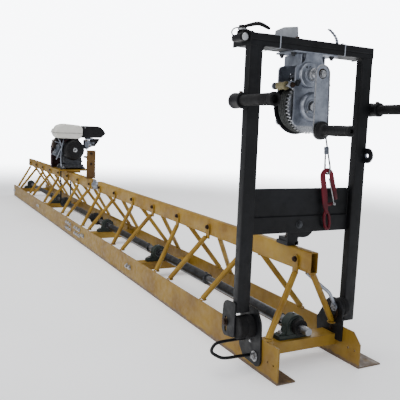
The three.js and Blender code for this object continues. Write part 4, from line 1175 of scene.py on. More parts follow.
inner_plate = Piece("left_inner_bracket_plate")
iy = (high("left_inner_bracket", 1) - 0.006, high("left_inner_bracket", 1))
ix = FRAME_FRONT - 0.072
outline = (
    [(ix, 0.196), (ix, 0.056), (ix + 0.03, 0.022)]
    + arc(ix + 0.098, 0.0455, 0.0275, 250, 360, 12)
    + [(ix + 0.118, 0.16), (ix + 0.092, 0.196)]
)
inner_plate.prism(rounded_corners(outline, 0.009, 3), *iy, "Y")
loop_points = [
    (2.104, -0.1585, 0.08), (2.111, -0.2, 0.084), (2.121, -0.262, 0.086), (2.129, -0.284, 0.079),
    (2.142, -0.2947, 0.07), (2.155, -0.284, 0.061), (2.163, -0.262, 0.054), (2.151, -0.2, 0.046),
    (2.142, -0.1585, 0.041),
]
inner_plate.tube(smooth_path([Vector((x + FRAME_FRONT - 2.15, y, z)) for x, y, z in loop_points], 8), 0.0049, 18)
inner_plate.done(BLACK, bevel=0.0008, replaces=("left_inner_bracket",))
washer = Piece("left_inner_bracket_bolts")
wx, wz = FRAME_FRONT + 0.022, 0.048
washer.ring((wx, iy[0] - GAP, wz), (wx, iy[0] - 0.0028, wz), 0.0165, 0.0064, 40, 0.0006)
washer.hex((wx, iy[0] - 0.0027, wz), (0, -1, 0), 0.0098, 0.0072)
washer.rod((wx, iy[0] - 0.008, wz), (wx, iy[0] - 0.0122, wz), 0.0055, 20, 0.0009)
washer.hex((FRAME_FRONT - 0.004, iy[0] - GAP, 0.088), (0, -1, 0), 0.0045, 0.0035)
washer.done(BOLT, bevel=0.0005)

# ---------------------------------------------------------------- right bracket, mount and stay
ry = (low("right_bracket", 1), low("right_bracket", 1) + 0.0057)
rx = FRAME_FRONT + 0.008
right_plate = Piece("right_bracket_plate")
outline = rounded_corners(
    [(rx - 0.08, 0.06), (rx + 0.048, 0.06), (rx + 0.048, 0.14)], 0.006, 3
) + arc(rx, 0.151, 0.046, -12, 160, 26) + [(rx - 0.08, 0.108)]
right_plate.prism(outline, *ry, "Y")
right_plate.ring((rx, ry[0] + 0.0001, 0.151), (rx, ry[0] - 0.0001 + 0.0056, 0.151), 0.03, 0.02, 48, 0.001)
right_plate.done(BLACK, bevel=0.0009, replaces=("right_bracket",))
boss = Piece("right_bracket_bolts")
boss.ring((rx, ry[0] - GAP, 0.151), (rx, ry[0] - 0.0048, 0.151), 0.0265, 0.0185, 48, 0.001)
for x in (rx + 0.032, rx - 0.068):
    boss.hex((x, ry[1] + GAP, 0.084), "Y", 0.0088, 0.0068)
    boss.rod((x, ry[1] + 0.006, 0.084), (x, ry[1] + 0.0098, 0.084), 0.005, 18, 0.0008)
boss.done(DARK_BOLT, bevel=0.0005)

stay = Piece("right_stay_rod")
sx = FRAME_FRONT + 0.026
stay.tube(smooth_path([
    (sx, 0.0152, 0.296), (sx, 0.04, 0.2765), (sx, 0.08, 0.2458), (sx, 0.112, 0.221),
    (sx - 0.003, 0.13, 0.196), (sx - 0.007, 0.1445, 0.179),
], 6), 0.0056, 20)
stay.ring((sx - 0.01, 0.1432, 0.168), (sx - 0.01, 0.1488, 0.168), 0.0146, 0.0068, 40, 0.0008)
stay.done(ZINC, bevel=0.0004, replaces=("right_stay",))
pin = Piece("right_stay_pin")
pin.hex((sx - 0.01, 0.1431, 0.168), (0, -1, 0), 0.0088, 0.0062)
pin.rod((sx - 0.01, 0.1435, 0.168), (sx - 0.01, 0.1592, 0.168), 0.0055, 20, 0.0006)
pin.done(BOLT, bevel=0.0004)


# ---------------------------------------------------------------- lifting handles
def lifting_handle(node, body):
    """A tube with a ribbed rubber grip and a rolled end."""
    lo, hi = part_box(node)
    y, z = (lo[1] + hi[1]) / 2, (lo[2] + hi[2]) / 2
    x0, x1 = lo[0], hi[0]
    profile = [(0, 0), (HANDLE_R - 0.002, 0), (HANDLE_R - 0.0002, 0.002)]
    length = x1 - x0
    grip = length - 0.066
    profile += [(HANDLE_R - 0.0002, grip)]
    for k in range(9):
        at = grip + 0.003 + 0.0048 * k
        profile += [(HANDLE_R - 0.0003, at), (HANDLE_R + 0.0008, at + 0.0008), (HANDLE_R + 0.0008, at + 0.0032),
                    (HANDLE_R - 0.0003, at + 0.004)]
    profile += [
        (HANDLE_R + 0.001, length - 0.0155), (HANDLE_R + 0.0028, length - 0.0135), (HANDLE_R + 0.0028, length - 0.003),
        (HANDLE_R + 0.0012, length), (HANDLE_R - 0.003, length), (HANDLE_R - 0.0045, length - 0.002),
        (HANDLE_R - 0.0055, length - 0.014), (0, length - 0.014),
    ]
    piece = Piece(f"{node}_grip")
    piece.lathe(profile, (x0, y, z), "X", 48)
    return piece.done(RUBBER, body, 0.0003, replaces=(node,))


lifting_handle("left_handle", "left_lift_handle")
lifting_handle("right_handle", "right_lift_handle")


# ---------------------------------------------------------------- hand winch
DRUM = ((low("winch_drum", 1) + high("winch_drum", 1)) / 2, middle("winch_drum", 2))
CRANK = (-0.004, 0.905)
GRIP = (middle("crank_grip", 1), middle("crank_grip", 2))
DRUM_Y, DRUM_Z = DRUM
CRANK_Y, CRANK_Z = CRANK


def at_x(offset, place):
    """A point at a distance in front of the frame's face, on a (y, z) line along X."""
    return (FRAME_FRONT + offset, *place)


def winch_plate(piece, x0, x1):
    """A side plate: rounded corners below, a waisted neck above, and two bores."""
    neck = 0.9695
    outline = (
        arc(DRUM_Y - 0.052, 0.766, 0.014, 180, 270, 6)
        + arc(DRUM_Y + 0.052, 0.766, 0.014, 270, 360, 6)
        + arc(DRUM_Y + 0.048, 0.917, 0.018, 0, 78, 6)
        + [(DRUM_Y + 0.042, 0.939), (DRUM_Y + 0.034, 0.948), (DRUM_Y + 0.031, 0.96), (DRUM_Y + 0.031, neck)]
        + [(DRUM_Y - 0.031, neck), (DRUM_Y - 0.031, 0.96), (DRUM_Y - 0.034, 0.948), (DRUM_Y - 0.042, 0.939)]
        + arc(DRUM_Y - 0.052, 0.921, 0.014, 98, 180, 6)
    )
    holes = [circle_hole(*DRUM, 0.0128, 28), circle_hole(*CRANK, 0.0096, 24)]
    piece.prism(outline, FRAME_FRONT + x0, FRAME_FRONT + x1, "X", holes=holes)


body = Piece("winch_side_plates")
winch_plate(body, -0.007, -0.001)
winch_plate(body, -0.094, -0.088)
top_z = high("winch_body", 2)
body.prism(rounded(FRAME_FRONT - 0.098, FRAME_FRONT - 0.001, -0.064, 0.108, 0.008, 5), top_z - 0.005, top_z, "Z")
for y in (-0.03, 0.058):
    body.box((FRAME_FRONT - 0.092, y - 0.002, 0.934), (FRAME_FRONT - 0.006, y + 0.002, 0.967))
for x in (-0.007, -0.094):
    body.prism(rounded(-0.074, -0.05, 0.862, 0.884, 0.01, 5), FRAME_FRONT + x, FRAME_FRONT + x + 0.006, "X")
weld_bead(body, [(FRAME_FRONT - 0.0005, DRUM_Y - 0.03 + 0.012 * k, top_z - 0.0065) for k in range(6)], 0.0022)
body.done(ZINC, bevel=0.0009, replaces=("winch_body",))

hub = Piece("winch_crank_boss")
hub.lathe([
    (0.0098, 0), (0.039, 0), (0.0395, 0.003), (0.037, 0.01), (0.035, 0.0125), (0.0235, 0.0135), (0.0225, 0.0155),
    (0.022, 0.0185), (0.0205, 0.0195), (0.0098, 0.0195),
], at_x(-0.0008, CRANK), "X", 64)
hub.lathe([
    (0.034, 0), (0.0455, 0), (0.044, 0.006), (0.04, 0.0125), (0.0385, 0.0138), (0.035, 0.0138), (0.034, 0.0125),
], at_x(-0.0008, DRUM), "X", 72)
hub.lathe([
    (0.013, 0), (0.0342, 0), (0.0342, 0.0042), (0.0225, 0.005), (0.0215, 0.0075), (0.018, 0.0075), (0.0172, 0.0052),
    (0.013, 0.0052),
], at_x(-0.0008, DRUM), "X", 64)
hub.done(ZINC, bevel=0.0005)

clip = Piece("winch_drum_circlip")
clip.prism(
    arc(*DRUM, 0.0168, -70, 215, 34) + list(reversed(arc(*DRUM, 0.0142, -70, 215, 34))),
    FRAME_FRONT + 0.0058, FRAME_FRONT + 0.0074, "X",
)
for angle in (-70, 215):
    tip = polar(DRUM, 0.0172, angle)
    clip.ring(at_x(0.0058, tip), at_x(0.0074, tip), 0.0024, 0.001, 16, 0.0002)
clip.done(STEEL, bevel=0.0002)

SPACERS = ((-0.045, 0.879), (0.071, 0.879))
screws = Piece("winch_plate_bolts")
for spot in SPACERS:
    screws.ring(at_x(-0.0008, spot), at_x(0.0012, spot), 0.0095, 0.0045, 28, 0.0003)
    screws.hex(at_x(0.0011, spot), "X", 0.0066, 0.0055)
    screws.rod(at_x(0.006, spot), at_x(0.0078, spot), 0.0034, 18, 0.0005)
screws.hex(at_x(-0.0008, (0.064, 0.92)), "X", 0.0056, 0.0048)
for x in (-0.08, -0.018):
    for y in (-0.051, 0.094):
        screws.hex((FRAME_FRONT + x, y, top_z - 0.0053), (0, 0, -1), 0.0082, 0.0065)
        screws.rod((FRAME_FRONT + x, y, top_z - 0.011), (FRAME_FRONT + x, y, top_z - 0.0165), 0.0048, 18, 0.0008)
screws.done(STEEL, bevel=0.0003)
dots = Piece("winch_boss_screws")
for angle in (35, 155, 275):
    a = math.radians(angle)
    spot = (CRANK_Y - 0.012 + 0.0068 * math.cos(a), CRANK_Z + 0.019 + 0.0062 * math.sin(a))
    dots.lathe([(0, 0), (0.0028, 0), (0.0028, 0.0016), (0.0016, 0.0024), (0.0012, 0.001), (0, 0.001)],
               at_x(0.0116, spot), "X", 20)
dots.done(STEEL, bevel=0.0002)
key = Piece("winch_drum_key")
key.prism(rounded(DRUM_Y - 0.0295, DRUM_Y - 0.0195, DRUM_Z - 0.0205, DRUM_Z - 0.0125, 0.002, 4),
          FRAME_FRONT + 0.0035, FRAME_FRONT + 0.0095, "X")
key.hex(at_x(0.0093, (DRUM_Y - 0.0245, DRUM_Z - 0.0165)), "X", 0.003, 0.0022)
key.done(BRIGHT, bevel=0.0005)

# drum: toothed rim, barrel and a dark pressed flange
TEETH = 45
GEAR_R = 0.083


def gear_outline(centre, teeth, root, tip):
    """Tapered teeth with flat tips."""
    made = []
    for i in range(teeth):
        for turn, radius in ((0.0, root), (0.2, root), (0.38, tip), (0.62, tip), (0.8, root)):
            made.append(polar(centre, radius, 360 * (i + turn) / teeth))
    return made


gear = Piece("winch_drum_gear")
gear.prism(gear_outline(DRUM, TEETH, GEAR_R - 0.0068, GEAR_R), FRAME_FRONT - 0.0208, FRAME_FRONT - 0.0122, "X",
           holes=[circle_hole(*DRUM, 0.0118, 24)])
gear.done(BRIGHT, "winch_drum_body", 0.0004, replaces=("winch_drum",))
barrel = Piece("winch_drum_barrel")
barrel.rod(at_x(-0.1, DRUM), at_x(0.01, DRUM), 0.0119, 36, 0.0012)
barrel.ring(at_x(-0.076, DRUM), at_x(-0.0212, DRUM), 0.03, 0.0122, 56, 0.0003)
barrel.lathe([(0, 0), (0.005, 0), (0.0035, -0.003), (0, -0.003)], at_x(0.0101, DRUM), "X", 20)
barrel.done(BRIGHT, "winch_drum_body", 0.0004)
flange = Piece("winch_drum_flange")
flange.lathe([
    (0.0122, -0.0815), (0.034, -0.0815), (0.04, -0.0795), (0.074, -0.0795), (0.08, -0.0818), (0.0845, -0.0812),
    (0.0858, -0.079), (0.0858, -0.0772), (0.0845, -0.0764), (0.078, -0.0764), (0.04, -0.0764), (0.0122, -0.0764),
], (FRAME_FRONT, *DRUM), "X", 96)
flange.done(BLACK, "winch_drum_body", 0.0003)

# rope wound on the drum, turn by turn in layers, drawn in a much darker copy of the rope metal as painted shade
WOUND_R = 0.004
winding = Piece("wound_rope_painted_shade")
coil_low = low("rope_winding", 0) + WOUND_R + 0.0002
coil_high = high("rope_winding", 0) - WOUND_R - 0.0002
coil_out = (high("rope_winding", 2) - low("rope_winding", 2)) / 2 - WOUND_R - 0.0004
turns = int((coil_high - coil_low) / (2 * WOUND_R))
layers = int((coil_out - 0.0345) / (2 * WOUND_R * 0.9))
for layer in range(max(layers - 2, 0), layers + 1):
    radius = coil_out - (layers - layer) * 2 * WOUND_R * 0.88
    shift = 0.5 if layer % 2 else 0.0
    for turn in range(turns - (1 if shift else 0)):
        x = coil_low + (turn + shift + 0.35) * (coil_high - coil_low) / turns
        profile = [(radius + WOUND_R * math.cos(a), WOUND_R * math.sin(a))
                   for a in (2 * math.pi * k / 10 for k in range(10))]
        winding.lathe(profile, (x, *DRUM), "X", 64)
core_r, core_long = coil_out - 5 * WOUND_R, high("rope_winding", 0) - low("rope_winding", 0) - 0.0006
winding.lathe([(0.0304, 0), (core_r, 0), (core_r, core_long), (0.0304, core_long)],
              (low("rope_winding", 0) + GAP, *DRUM), "X", 48)
winding.done(ROPE_METAL_PAINTED_SHADE, "winch_drum_body", 0, angle=60, replaces=("rope_winding",))

# crank shaft, pinion, arm and grip
PINION_TEETH = 12
crank = Piece("winch_crank_shaft")
crank.rod(at_x(-0.1, CRANK), at_x(0.0735, CRANK), 0.0089, 36, 0.0012)
crank.lathe([
    (0.0092, 0.0195), (0.019, 0.0195), (0.0195, 0.0205), (0.0195, 0.03), (0.018, 0.032), (0.0165, 0.0325),
    (0.0165, 0.044), (0.015, 0.047), (0.015, 0.06), (0.0092, 0.06),
], at_x(0, CRANK), "X", 48)
crank.prism(gear_outline(CRANK, PINION_TEETH, 0.0095, 0.0114), FRAME_FRONT - 0.0228, FRAME_FRONT - 0.0102, "X")
crank.done(BRIGHT, "winch_crank_body", 0.0004, replaces=("winch_crank",))


def crank_arm():
    """A pressed flat arm with a raised rim and a large bore at the hub."""
    along = Vector((0, GRIP[0] - CRANK_Y, GRIP[1] - CRANK_Z))
    lean = math.degrees(math.atan2(along.y, -along.z))
    piece = Piece("winch_crank_arm")

    def outline(inset):
        return (arc(*CRANK, 0.0265 - inset, lean, lean + 180, 24)
                + arc(*GRIP, 0.0285 - inset, lean + 180, lean + 360, 24))

    x0, x1 = ARM_X
    piece.prism(outline(0), x0, x1 - 0.0022, "X", holes=[circle_hole(*CRANK, 0.015, 32)])
    piece.done(ZINC, "winch_crank_body", 0.0005)
    # The rim is drawn in the lighter bolt metal, a painted highlight along the arm's edge.
    rim = Piece("winch_crank_arm_rim_painted_highlight")
    tube_section(rim, outline(0), outline(0.003), x1 - 0.0021, x1, "X")
    rim.done(BOLT, "winch_crank_body", 0.0004)


ARM_X = (FRAME_FRONT + 0.062, FRAME_FRONT + 0.068)
crank_arm()
nut = Piece("winch_crank_nut")
nut.ring(at_x(0.06, CRANK), at_x(0.064, CRANK), 0.0148, 0.0089, 40, 0.0005)
nut.done(DARK_BOLT, "winch_crank_body", 0.0003)
cap_nut = Piece("winch_crank_cap_nut")
cap_nut.hex(at_x(0.0642, (CRANK_Y + 0.001, CRANK_Z - 0.001)), "X", 0.0102, 0.0072)
cap_nut.rod(at_x(0.07, CRANK), at_x(0.0758, CRANK), 0.0055, 24, 0.001)
cap_nut.done(BOLT, "winch_crank_body", 0.0004)
stud = Piece("winch_grip_stud")
stud.rod(at_x(0.0655, GRIP), at_x(0.19, GRIP), 0.0059, 24, 0.0006)
stud.hex(at_x(0.0615, GRIP), (-1, 0, 0), 0.0095, 0.006)
stud.done(BOLT, "winch_crank_body", 0.0003)

gx0, gx1 = low("crank_grip", 0), high("crank_grip", 0)
grip = Piece("crank_grip_handle")
profile = [(0.0065, 0), (0.0262, 0), (0.027, 0.0012), (0.027, 0.0075), (0.0258, 0.009), (0.0205, 0.012),
           (0.017, 0.0165), (0.0156, 0.024)]
for k in range(14):
    at = 0.03 + 0.0062 * k
    swell = 0.0008 * math.sin(math.pi * k / 13)
    profile += [(0.0146 + swell, at), (0.0151 + swell, at + 0.0012), (0.0151 + swell, at + 0.0042),
                (0.0146 + swell, at + 0.0052)]
profile += [(0.0156, 0.118), (0.0162, 0.121), (0.0162, 0.127), (0.014, 0.1305), (0.0065, gx1 - gx0)]
grip.lathe(profile, (gx0, *GRIP), "X", 48)
grip.done(PLASTIC, "crank_knob", 0.0003, replaces=("crank_grip",))

roller_low, roller_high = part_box("rope_roller")
ROLLER = ((roller_low[1] + roller_high[1]) / 2, (roller_low[2] + roller_high[2]) / 2)
roller = Piece("fairlead_roller")
roller.lathe([
    (0.0052, 0), (0.0118, 0), (0.0128, 0.0012), (0.0128, 0.008), (0.0112, 0.013), (0.011, 0.029), (0.0128, 0.034),
    (0.0128, 0.0408), (0.0118, 0.042), (0.0052, 0.042),
], (FRAME_FRONT - 0.072, *ROLLER), "X", 48)
roller.done(NYLON, "roller", 0.0004, replaces=("rope_roller",))
pin = Piece("fairlead_pin")
pin.rod((roller_low[0] + 0.0002, *ROLLER), (roller_high[0] - 0.0002, *ROLLER), 0.005, 24, 0.0005)
pin.done(BOLT, "roller", 0)
for x, way in ((FRAME_FRONT - 0.0008, 1), (FRAME_FRONT - 0.0942, -1)):
    cap = Piece(f"fairlead_nut_{'front' if way > 0 else 'back'}")
    cap.hex((x, *ROLLER), (way, 0, 0), 0.007, 0.0062)
    cap.done(DARK_BOLT, bevel=0.0003)
spacer = Piece("winch_spacer_rods")
for spot in SPACERS:
    spacer.ring(at_x(-0.0878, spot), at_x(-0.0072, spot), 0.0068, 0.0042, 24, 0.0004)
spacer.done(ZINC, bevel=0.0003)

# ratchet pawl on the inside of the front plate
pawl = Piece("ratchet_pawl")
pawl.prism(rounded_corners([(0.052, 0.906), (0.064, 0.914), (0.06, 0.926), (0.046, 0.93), (0.022, 0.921),
                            (0.026, 0.914)], 0.004, 3), FRAME_FRONT - 0.0115, FRAME_FRONT - 0.0078, "X")
pawl.done(STEEL, bevel=0.0006)


# ---------------------------------------------------------------- engine
ENG = high("recoil_cover", 0)


def pillowed(piece, outline, x0, x1, radius, steps=6):
    """Extrudes a (y, z) outline along X with both end faces rounded over."""
    cy = sum(p[0] for p in outline) / len(outline)
    cz = sum(p[1] for p in outline) / len(outline)
    half_y = max(abs(p[0] - cy) for p in outline)
    half_z = max(abs(p[1] - cz) for p in outline)
    rows = []
    for end, way in ((x0, 1), (x1, -1)):
        block = []
        for k in range(steps + 1):
            a = math.radians(90 * k / steps)
            inset = radius * (1 - math.sin(a))
            x = end + way * radius * (1 - math.cos(a))
            block.append([(x, cy + (y - cy) * (1 - inset / half_y), cz + (z - cz) * (1 - inset / half_z))
                          for y, z in outline])
        rows += block if way > 0 else list(reversed(block))
    return piece.loft(rows)


case = Piece("crankcase_casting")
case.prism(rounded(-0.061, 0.061, 0.433, 0.589, 0.014, 6), ENG - 0.193, ENG - 0.064, "X")
for x in (ENG - 0.19, ENG - 0.133, ENG - 0.075):
    case.prism(rounded(-0.0625, 0.0625, 0.4325, 0.5905, 0.014, 6), x, x + 0.006, "X")
case.lathe([(0.0104, 0), (0.046, 0), (0.05, 0.004), (0.05, 0.018), (0.046, 0.02), (0.0104, 0.02)],
           (ENG - 0.21, 0, ENG_Z), "X", 56)
case.lathe([(0.0104, 0), (0.0205, 0), (0.022, 0.0015), (0.022, 0.042), (0.03, 0.046), (0.0104, 0.046)],
           (ENG - 0.2445, 0, ENG_Z), "X", 40)
case.prism(rounded(ENG - 0.199, ENG - 0.051, -0.079, 0.079, 0.01, 5), 0.408, 0.4335, "Z")
for side in (-1, 1):
    y = side * 0.076
    case.prism(rounded(ENG - 0.2175, ENG - 0.0305, y - 0.0118, y + 0.0118, 0.006, 4), 0.4003, 0.4098, "Z")
side_cover_bolts = [polar((0, ENG_Z), 0.04, angle) for angle in range(22, 382, 45)]
for spot in side_cover_bolts:
    case.rod((ENG - 0.2104, *spot), (ENG - 0.1968, *spot), 0.0068, 18, 0.0006)
for z in (0.462, 0.486, 0.51):
    case.box((ENG - 0.182, -0.0655, z), (ENG - 0.078, -0.06, z + 0.0035))
case.rod((ENG - 0.09, 0.058, 0.452), (ENG - 0.09, 0.074, 0.456), 0.0095, 24, 0.001)
case.done(ENGINE_DARK, bevel=0.0012, replaces=("engine_crankcase",))

fasteners = Piece("crankcase_bolts")
for spot in side_cover_bolts:
    fasteners.hex((ENG - 0.2106, *spot), (-1, 0, 0), 0.0048, 0.0048)
for side in (-1, 1):
    for x in (ENG - 0.206, ENG - 0.042):
        fasteners.ring((x, side * 0.076, 0.4101), (x, side * 0.076, 0.4118), 0.0095, 0.0042, 24, 0.0003)
        fasteners.hex((x, side * 0.076, 0.4117), "Z", 0.0066, 0.0056)
        fasteners.rod((x, side * 0.076, 0.4165), (x, side * 0.076, 0.4205), 0.0038, 16, 0.0005)
fasteners.hex((ENG - 0.09, 0.0742, 0.4562), "Y", 0.0062, 0.005)
fasteners.done(BOLT, bevel=0.0003)

# finned barrel and head, leaning to the front
LEAN = math.radians(62)
head_frame = Matrix.Translation((ENG - 0.128, -0.066, 0.52)) @ Matrix.Rotation(LEAN, 4, "X")


def placed(piece, matrix):
    """Moves everything in a piece by a matrix."""
    bmesh.ops.transform(piece.bm, matrix=matrix, verts=piece.bm.verts)
    return piece


barrel = Piece("finned_cylinder")
barrel.prism(rounded(-0.04, 0.04, -0.036, 0.036, 0.012, 6), 0.0, 0.05, "Z")
for i in range(8):
    z = 0.0055 + 0.0056 * i
    barrel.prism(rounded(-0.0535, 0.0535, -0.0475, 0.0475, 0.009, 5), z, z + 0.002, "Z")
barrel.lathe([(0, 0.049), (0.0088, 0.049), (0.0088, 0.054), (0.007, 0.056), (0, 0.056)], (0, 0, 0), "Z", 24)
placed(barrel, head_frame).done(ALLOY, bevel=0.0004, replaces=("engine_cylinder",))
plug = Piece("spark_plug_boot")
plug.lathe([(0, 0.054), (0.0084, 0.054), (0.0088, 0.059), (0.007, 0.062), (0.0076, 0.065), (0.0076, 0.069),
            (0.0058, 0.0715), (0, 0.0715)], (0, 0, 0), "Z", 28)
placed(plug, head_frame).done(RUBBER, bevel=0.0004)
head_bolts = Piece("cylinder_head_bolts")
for u in (-0.033, 0.033):
    for v in (-0.029, 0.029):
        head_bolts.hex((u, v, 0.05), "Z", 0.0052, 0.005)
placed(head_bolts, head_frame).done(BOLT, bevel=0.0003)

# recoil starter: a domed black housing with a louvred face
recoil = Piece("recoil_housing")
recoil.lathe([
    (0.0105, -0.004), (0.0218, -0.004), (0.0225, -0.0055), (0.026, -0.0065), (0.046, -0.0072), (0.0615, -0.0088),
    (0.07, -0.015), (0.0742, -0.024), (0.077, -0.042), (0.079, -0.059), (0.0725, -0.059), (0.069, -0.028),
    (0.059, -0.0175), (0.0105, -0.015),
], (ENG, 0, ENG_Z), "X", 72)
for i in range(18):
    a = 2 * math.pi * i / 18
    start, end = 0.034, 0.0575
    along = Vector((0, math.cos(a), math.sin(a)))
    skew = Vector((0, math.cos(a + 0.28), math.sin(a + 0.28)))
    centre = Vector((ENG - 0.0062, 0, ENG_Z))
    recoil.tube([centre + along * start,
                 centre + (along * 0.5 + skew * 0.5).normalized() * 0.046 - Vector((0.0006, 0, 0)),
                 centre + skew * end - Vector((0.0022, 0, 0))], 0.0017, 8)
RECOIL_LUGS = (30, 150, 270)
for angle in RECOIL_LUGS:
    recoil.lathe([(0, 0), (0.007, 0), (0.007, 0.012), (0, 0.012)],
                 (ENG - 0.0585, *polar((0, ENG_Z), 0.072675, angle)), "X", 20)
recoil.done(PLASTIC, bevel=0.0005, replaces=("recoil_cover",))
centre_ring = Piece("recoil_centre_ring")
centre_ring.lathe([(0.0062, 0), (0.015, 0), (0.016, 0.001), (0.016, 0.0028), (0.0145, 0.0038), (0.008, 0.0038),
                   (0.0062, 0.0022)], (ENG - 0.0039, 0, ENG_Z), "X", 44)
centre_ring.done(BRIGHT, bevel=0.0003)
hub_screw = Piece("recoil_hub_screw")
hub_screw.lathe([(0, 0), (0.0058, 0), (0.0058, 0.002), (0.0046, 0.003), (0, 0.003)], (ENG - 0.0042, 0, ENG_Z), "X", 28)
for angle in RECOIL_LUGS:
    hub_screw.hex((ENG - 0.0464, *polar((0, ENG_Z), 0.0727, angle)), "X", 0.0044, 0.0042)
hub_screw.done(STEEL, bevel=0.0003)

grip_lo, grip_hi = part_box("recoil_grip")
pull = Piece("starter_grip_handle")
gx = (grip_lo[0] + grip_hi[0]) / 2
gz = (grip_lo[2] + grip_hi[2]) / 2
outline = rounded_corners([
    (gx - 0.0255, gz - 0.007), (gx, gz - 0.0078), (gx + 0.0255, gz - 0.007),
    (gx + 0.0258, gz + 0.007), (gx, gz + 0.0078), (gx - 0.0258, gz + 0.007),
], 0.0045, 4)
pull.prism(outline, 0.0825, grip_hi[1] - 0.0002, "Y")
for k in range(5):
    x = gx - 0.018 + 0.009 * k
    pull.box((x - 0.0012, 0.0845, gz - 0.0079), (x + 0.0012, grip_hi[1] - 0.0012, gz + 0.0079))
pull.rod((ENG - 0.04, grip_lo[1] + 0.0002, gz), (ENG - 0.04, 0.084, gz), 0.0039, 20, 0.0008)
pull.done(PLASTIC, "starter_grip", 0.0012, replaces=("recoil_grip",))

# fuel tank: two pressed halves with a rolled seam
TANK_X = (ENG - 0.15, ENG - 0.008)


def tank_outline(crown):
    """The tank seen along X, with the height of its top."""
    corners = [(-0.118, 0.624), (0.04, 0.624), (0.058, 0.65), (0.06, 0.7), (0.04, crown - 0.01), (-0.09, crown),
               (-0.14, crown - 0.018), (-0.15, 0.68), (-0.142, 0.645)]
    return rounded_corners(corners, 0.018, 7)


shell = Piece("fuel_tank_shell")
pillowed(shell, tank_outline(0.712), TANK_X[0], ENG - 0.066, 0.022, 8)
pillowed(shell, tank_outline(0.734), ENG - 0.08, TANK_X[1], 0.016, 8)
shell.done(TANK, bevel=0, angle=50, replaces=("fuel_tank",))
seam = Piece("fuel_tank_seam")
seam.prism(rounded(TANK_X[0] - 0.0038, TANK_X[1] + 0.0036, -0.1535, 0.0612, 0.024, 8), 0.6664, 0.6698, "Z")
seam.done(TANK, bevel=0.0008)
# a thin black strip under the seam lip that paints the shadow there
seam_shadow_strip = Piece("fuel_tank_seam_shadow_strip")
seam_shadow_strip.prism(rounded(TANK_X[0] - 0.003, TANK_X[1] + 0.0028, -0.1527, 0.0604, 0.023, 8), 0.6646, 0.6663, "Z")
seam_shadow_strip.done(RUBBER, bevel=0)
# a black plate under the tank; the dark band it draws there is partly painted shade
tank_bracket_and_shade = Piece("fuel_tank_bracket_and_painted_shade")
tank_bracket_and_shade.prism(rounded(ENG - 0.142, ENG - 0.0625, -0.124, 0.044, 0.006, 4), 0.6165, 0.6236, "Z")
tank_bracket_and_shade.prism(rounded(ENG - 0.06, ENG - 0.012, -0.118, -0.04, 0.005, 4), 0.6188, 0.6236, "Z")
tank_bracket_and_shade.done(PLASTIC, bevel=0.0006)
neck = Piece("fuel_filler_neck")
neck.ring((ENG - 0.11, -0.06, 0.7045), (ENG - 0.11, -0.06, 0.7155), 0.0198, 0.0165, 40, 0.0008)
neck.done(TANK, bevel=0.0003)
cap_low, cap_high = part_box("fuel_cap")
cap = Piece("fuel_cap_cover")
cx, cy = (cap_low[0] + cap_high[0]) / 2, (cap_low[1] + cap_high[1]) / 2
cap.lathe([
    (0.0208, 0.7133), (0.0275, 0.7133), (0.0285, 0.7145), (0.0285, 0.7265), (0.0262, 0.73), (0.02, 0.7316),
    (0.012, 0.7306), (0, 0.7306), (0, 0.7172), (0.0208, 0.7172),
], (cx, cy, 0), "Z", 60)
for angle in range(0, 360, 18):
    spot = polar((cx, cy), 0.0276, angle)
    cap.rod((*spot, 0.7142), (*spot, 0.7262), 0.0016, 10, 0.0004)
cap.done(PLASTIC, "tank_cap", 0.0004, replaces=("fuel_cap",))

# air cleaner: a black wedge with ribs and a clip
AIR = ((ENG - 0.128, ENG - 0.022))
outline = rounded_corners([
    (0.066, 0.6322), (0.206, 0.6362), (0.2378, 0.668), (0.226, 0.692), (0.198, 0.716), (0.18, 0.7218),
    (0.07, 0.7218), (0.0622, 0.706),
], 0.006, 5)
air = Piece("air_cleaner_cover")
pillowed(air, outline, AIR[0], AIR[1], 0.01, 5)
for k in range(5):
    y = 0.086 + 0.019 * k
    air.box((AIR[0] + 0.012, y, 0.717), (AIR[1] - 0.012, y + 0.004, 0.7222))
air.done(PLASTIC, bevel=0.0008, angle=40, replaces=("air_cleaner",))
wing = Piece("air_cleaner_clip")
wing.lathe([(0, 0), (0.0048, 0), (0.0042, 0.0022), (0, 0.0026)], (ENG - 0.0222, 0.078, 0.708), "X", 20)
wing.done(BOLT, bevel=0.0002)

# carburettor with float bowl, throat and linkage
carb = Piece("carburettor_body")
carb.prism(rounded(0.0845, 0.1235, 0.563, 0.6175, 0.006, 5), ENG - 0.099, ENG - 0.046, "X")
carb.lathe([(0.012, 0), (0.019, 0), (0.019, 0.008), (0.0165, 0.012), (0.0165, 0.06), (0.019, 0.064),
            (0.019, 0.0755), (0.012, 0.0755)], (ENG - 0.072, 0.0843, 0.6), "Y", 40)
carb.lathe([(0, -0.0215), (0.006, -0.0215), (0.0165, -0.017), (0.0205, -0.01), (0.021, 0), (0, 0)],
           (ENG - 0.072, 0.104, 0.5695), "Z", 40)
carb.prism(rounded(ENG - 0.1038, ENG - 0.0465, 0.0965, 0.1495, 0.008, 5), 0.619, 0.632, "Z")
carb.done(ALLOY, bevel=0.0008, replaces=("carburettor",))
jets = Piece("carburettor_jets")
jets.hex((ENG - 0.072, 0.104, 0.5482), (0, 0, -1), 0.005, 0.005)
for y, z in ((0.092, 0.612), (0.117, 0.575)):
    jets.lathe([(0, 0), (0.0042, 0), (0.0042, 0.005), (0.003, 0.006), (0, 0.006)], (ENG - 0.0461, y, z), "X", 20)
jets.done(BRASS, bevel=0.0003)
links = Piece("carburettor_linkage")
links.prism(rounded_corners([(0.1, 0.585), (0.128, 0.59), (0.14, 0.572), (0.126, 0.562), (0.104, 0.568)], 0.004, 3),
            ENG - 0.044, ENG - 0.0418, "X")
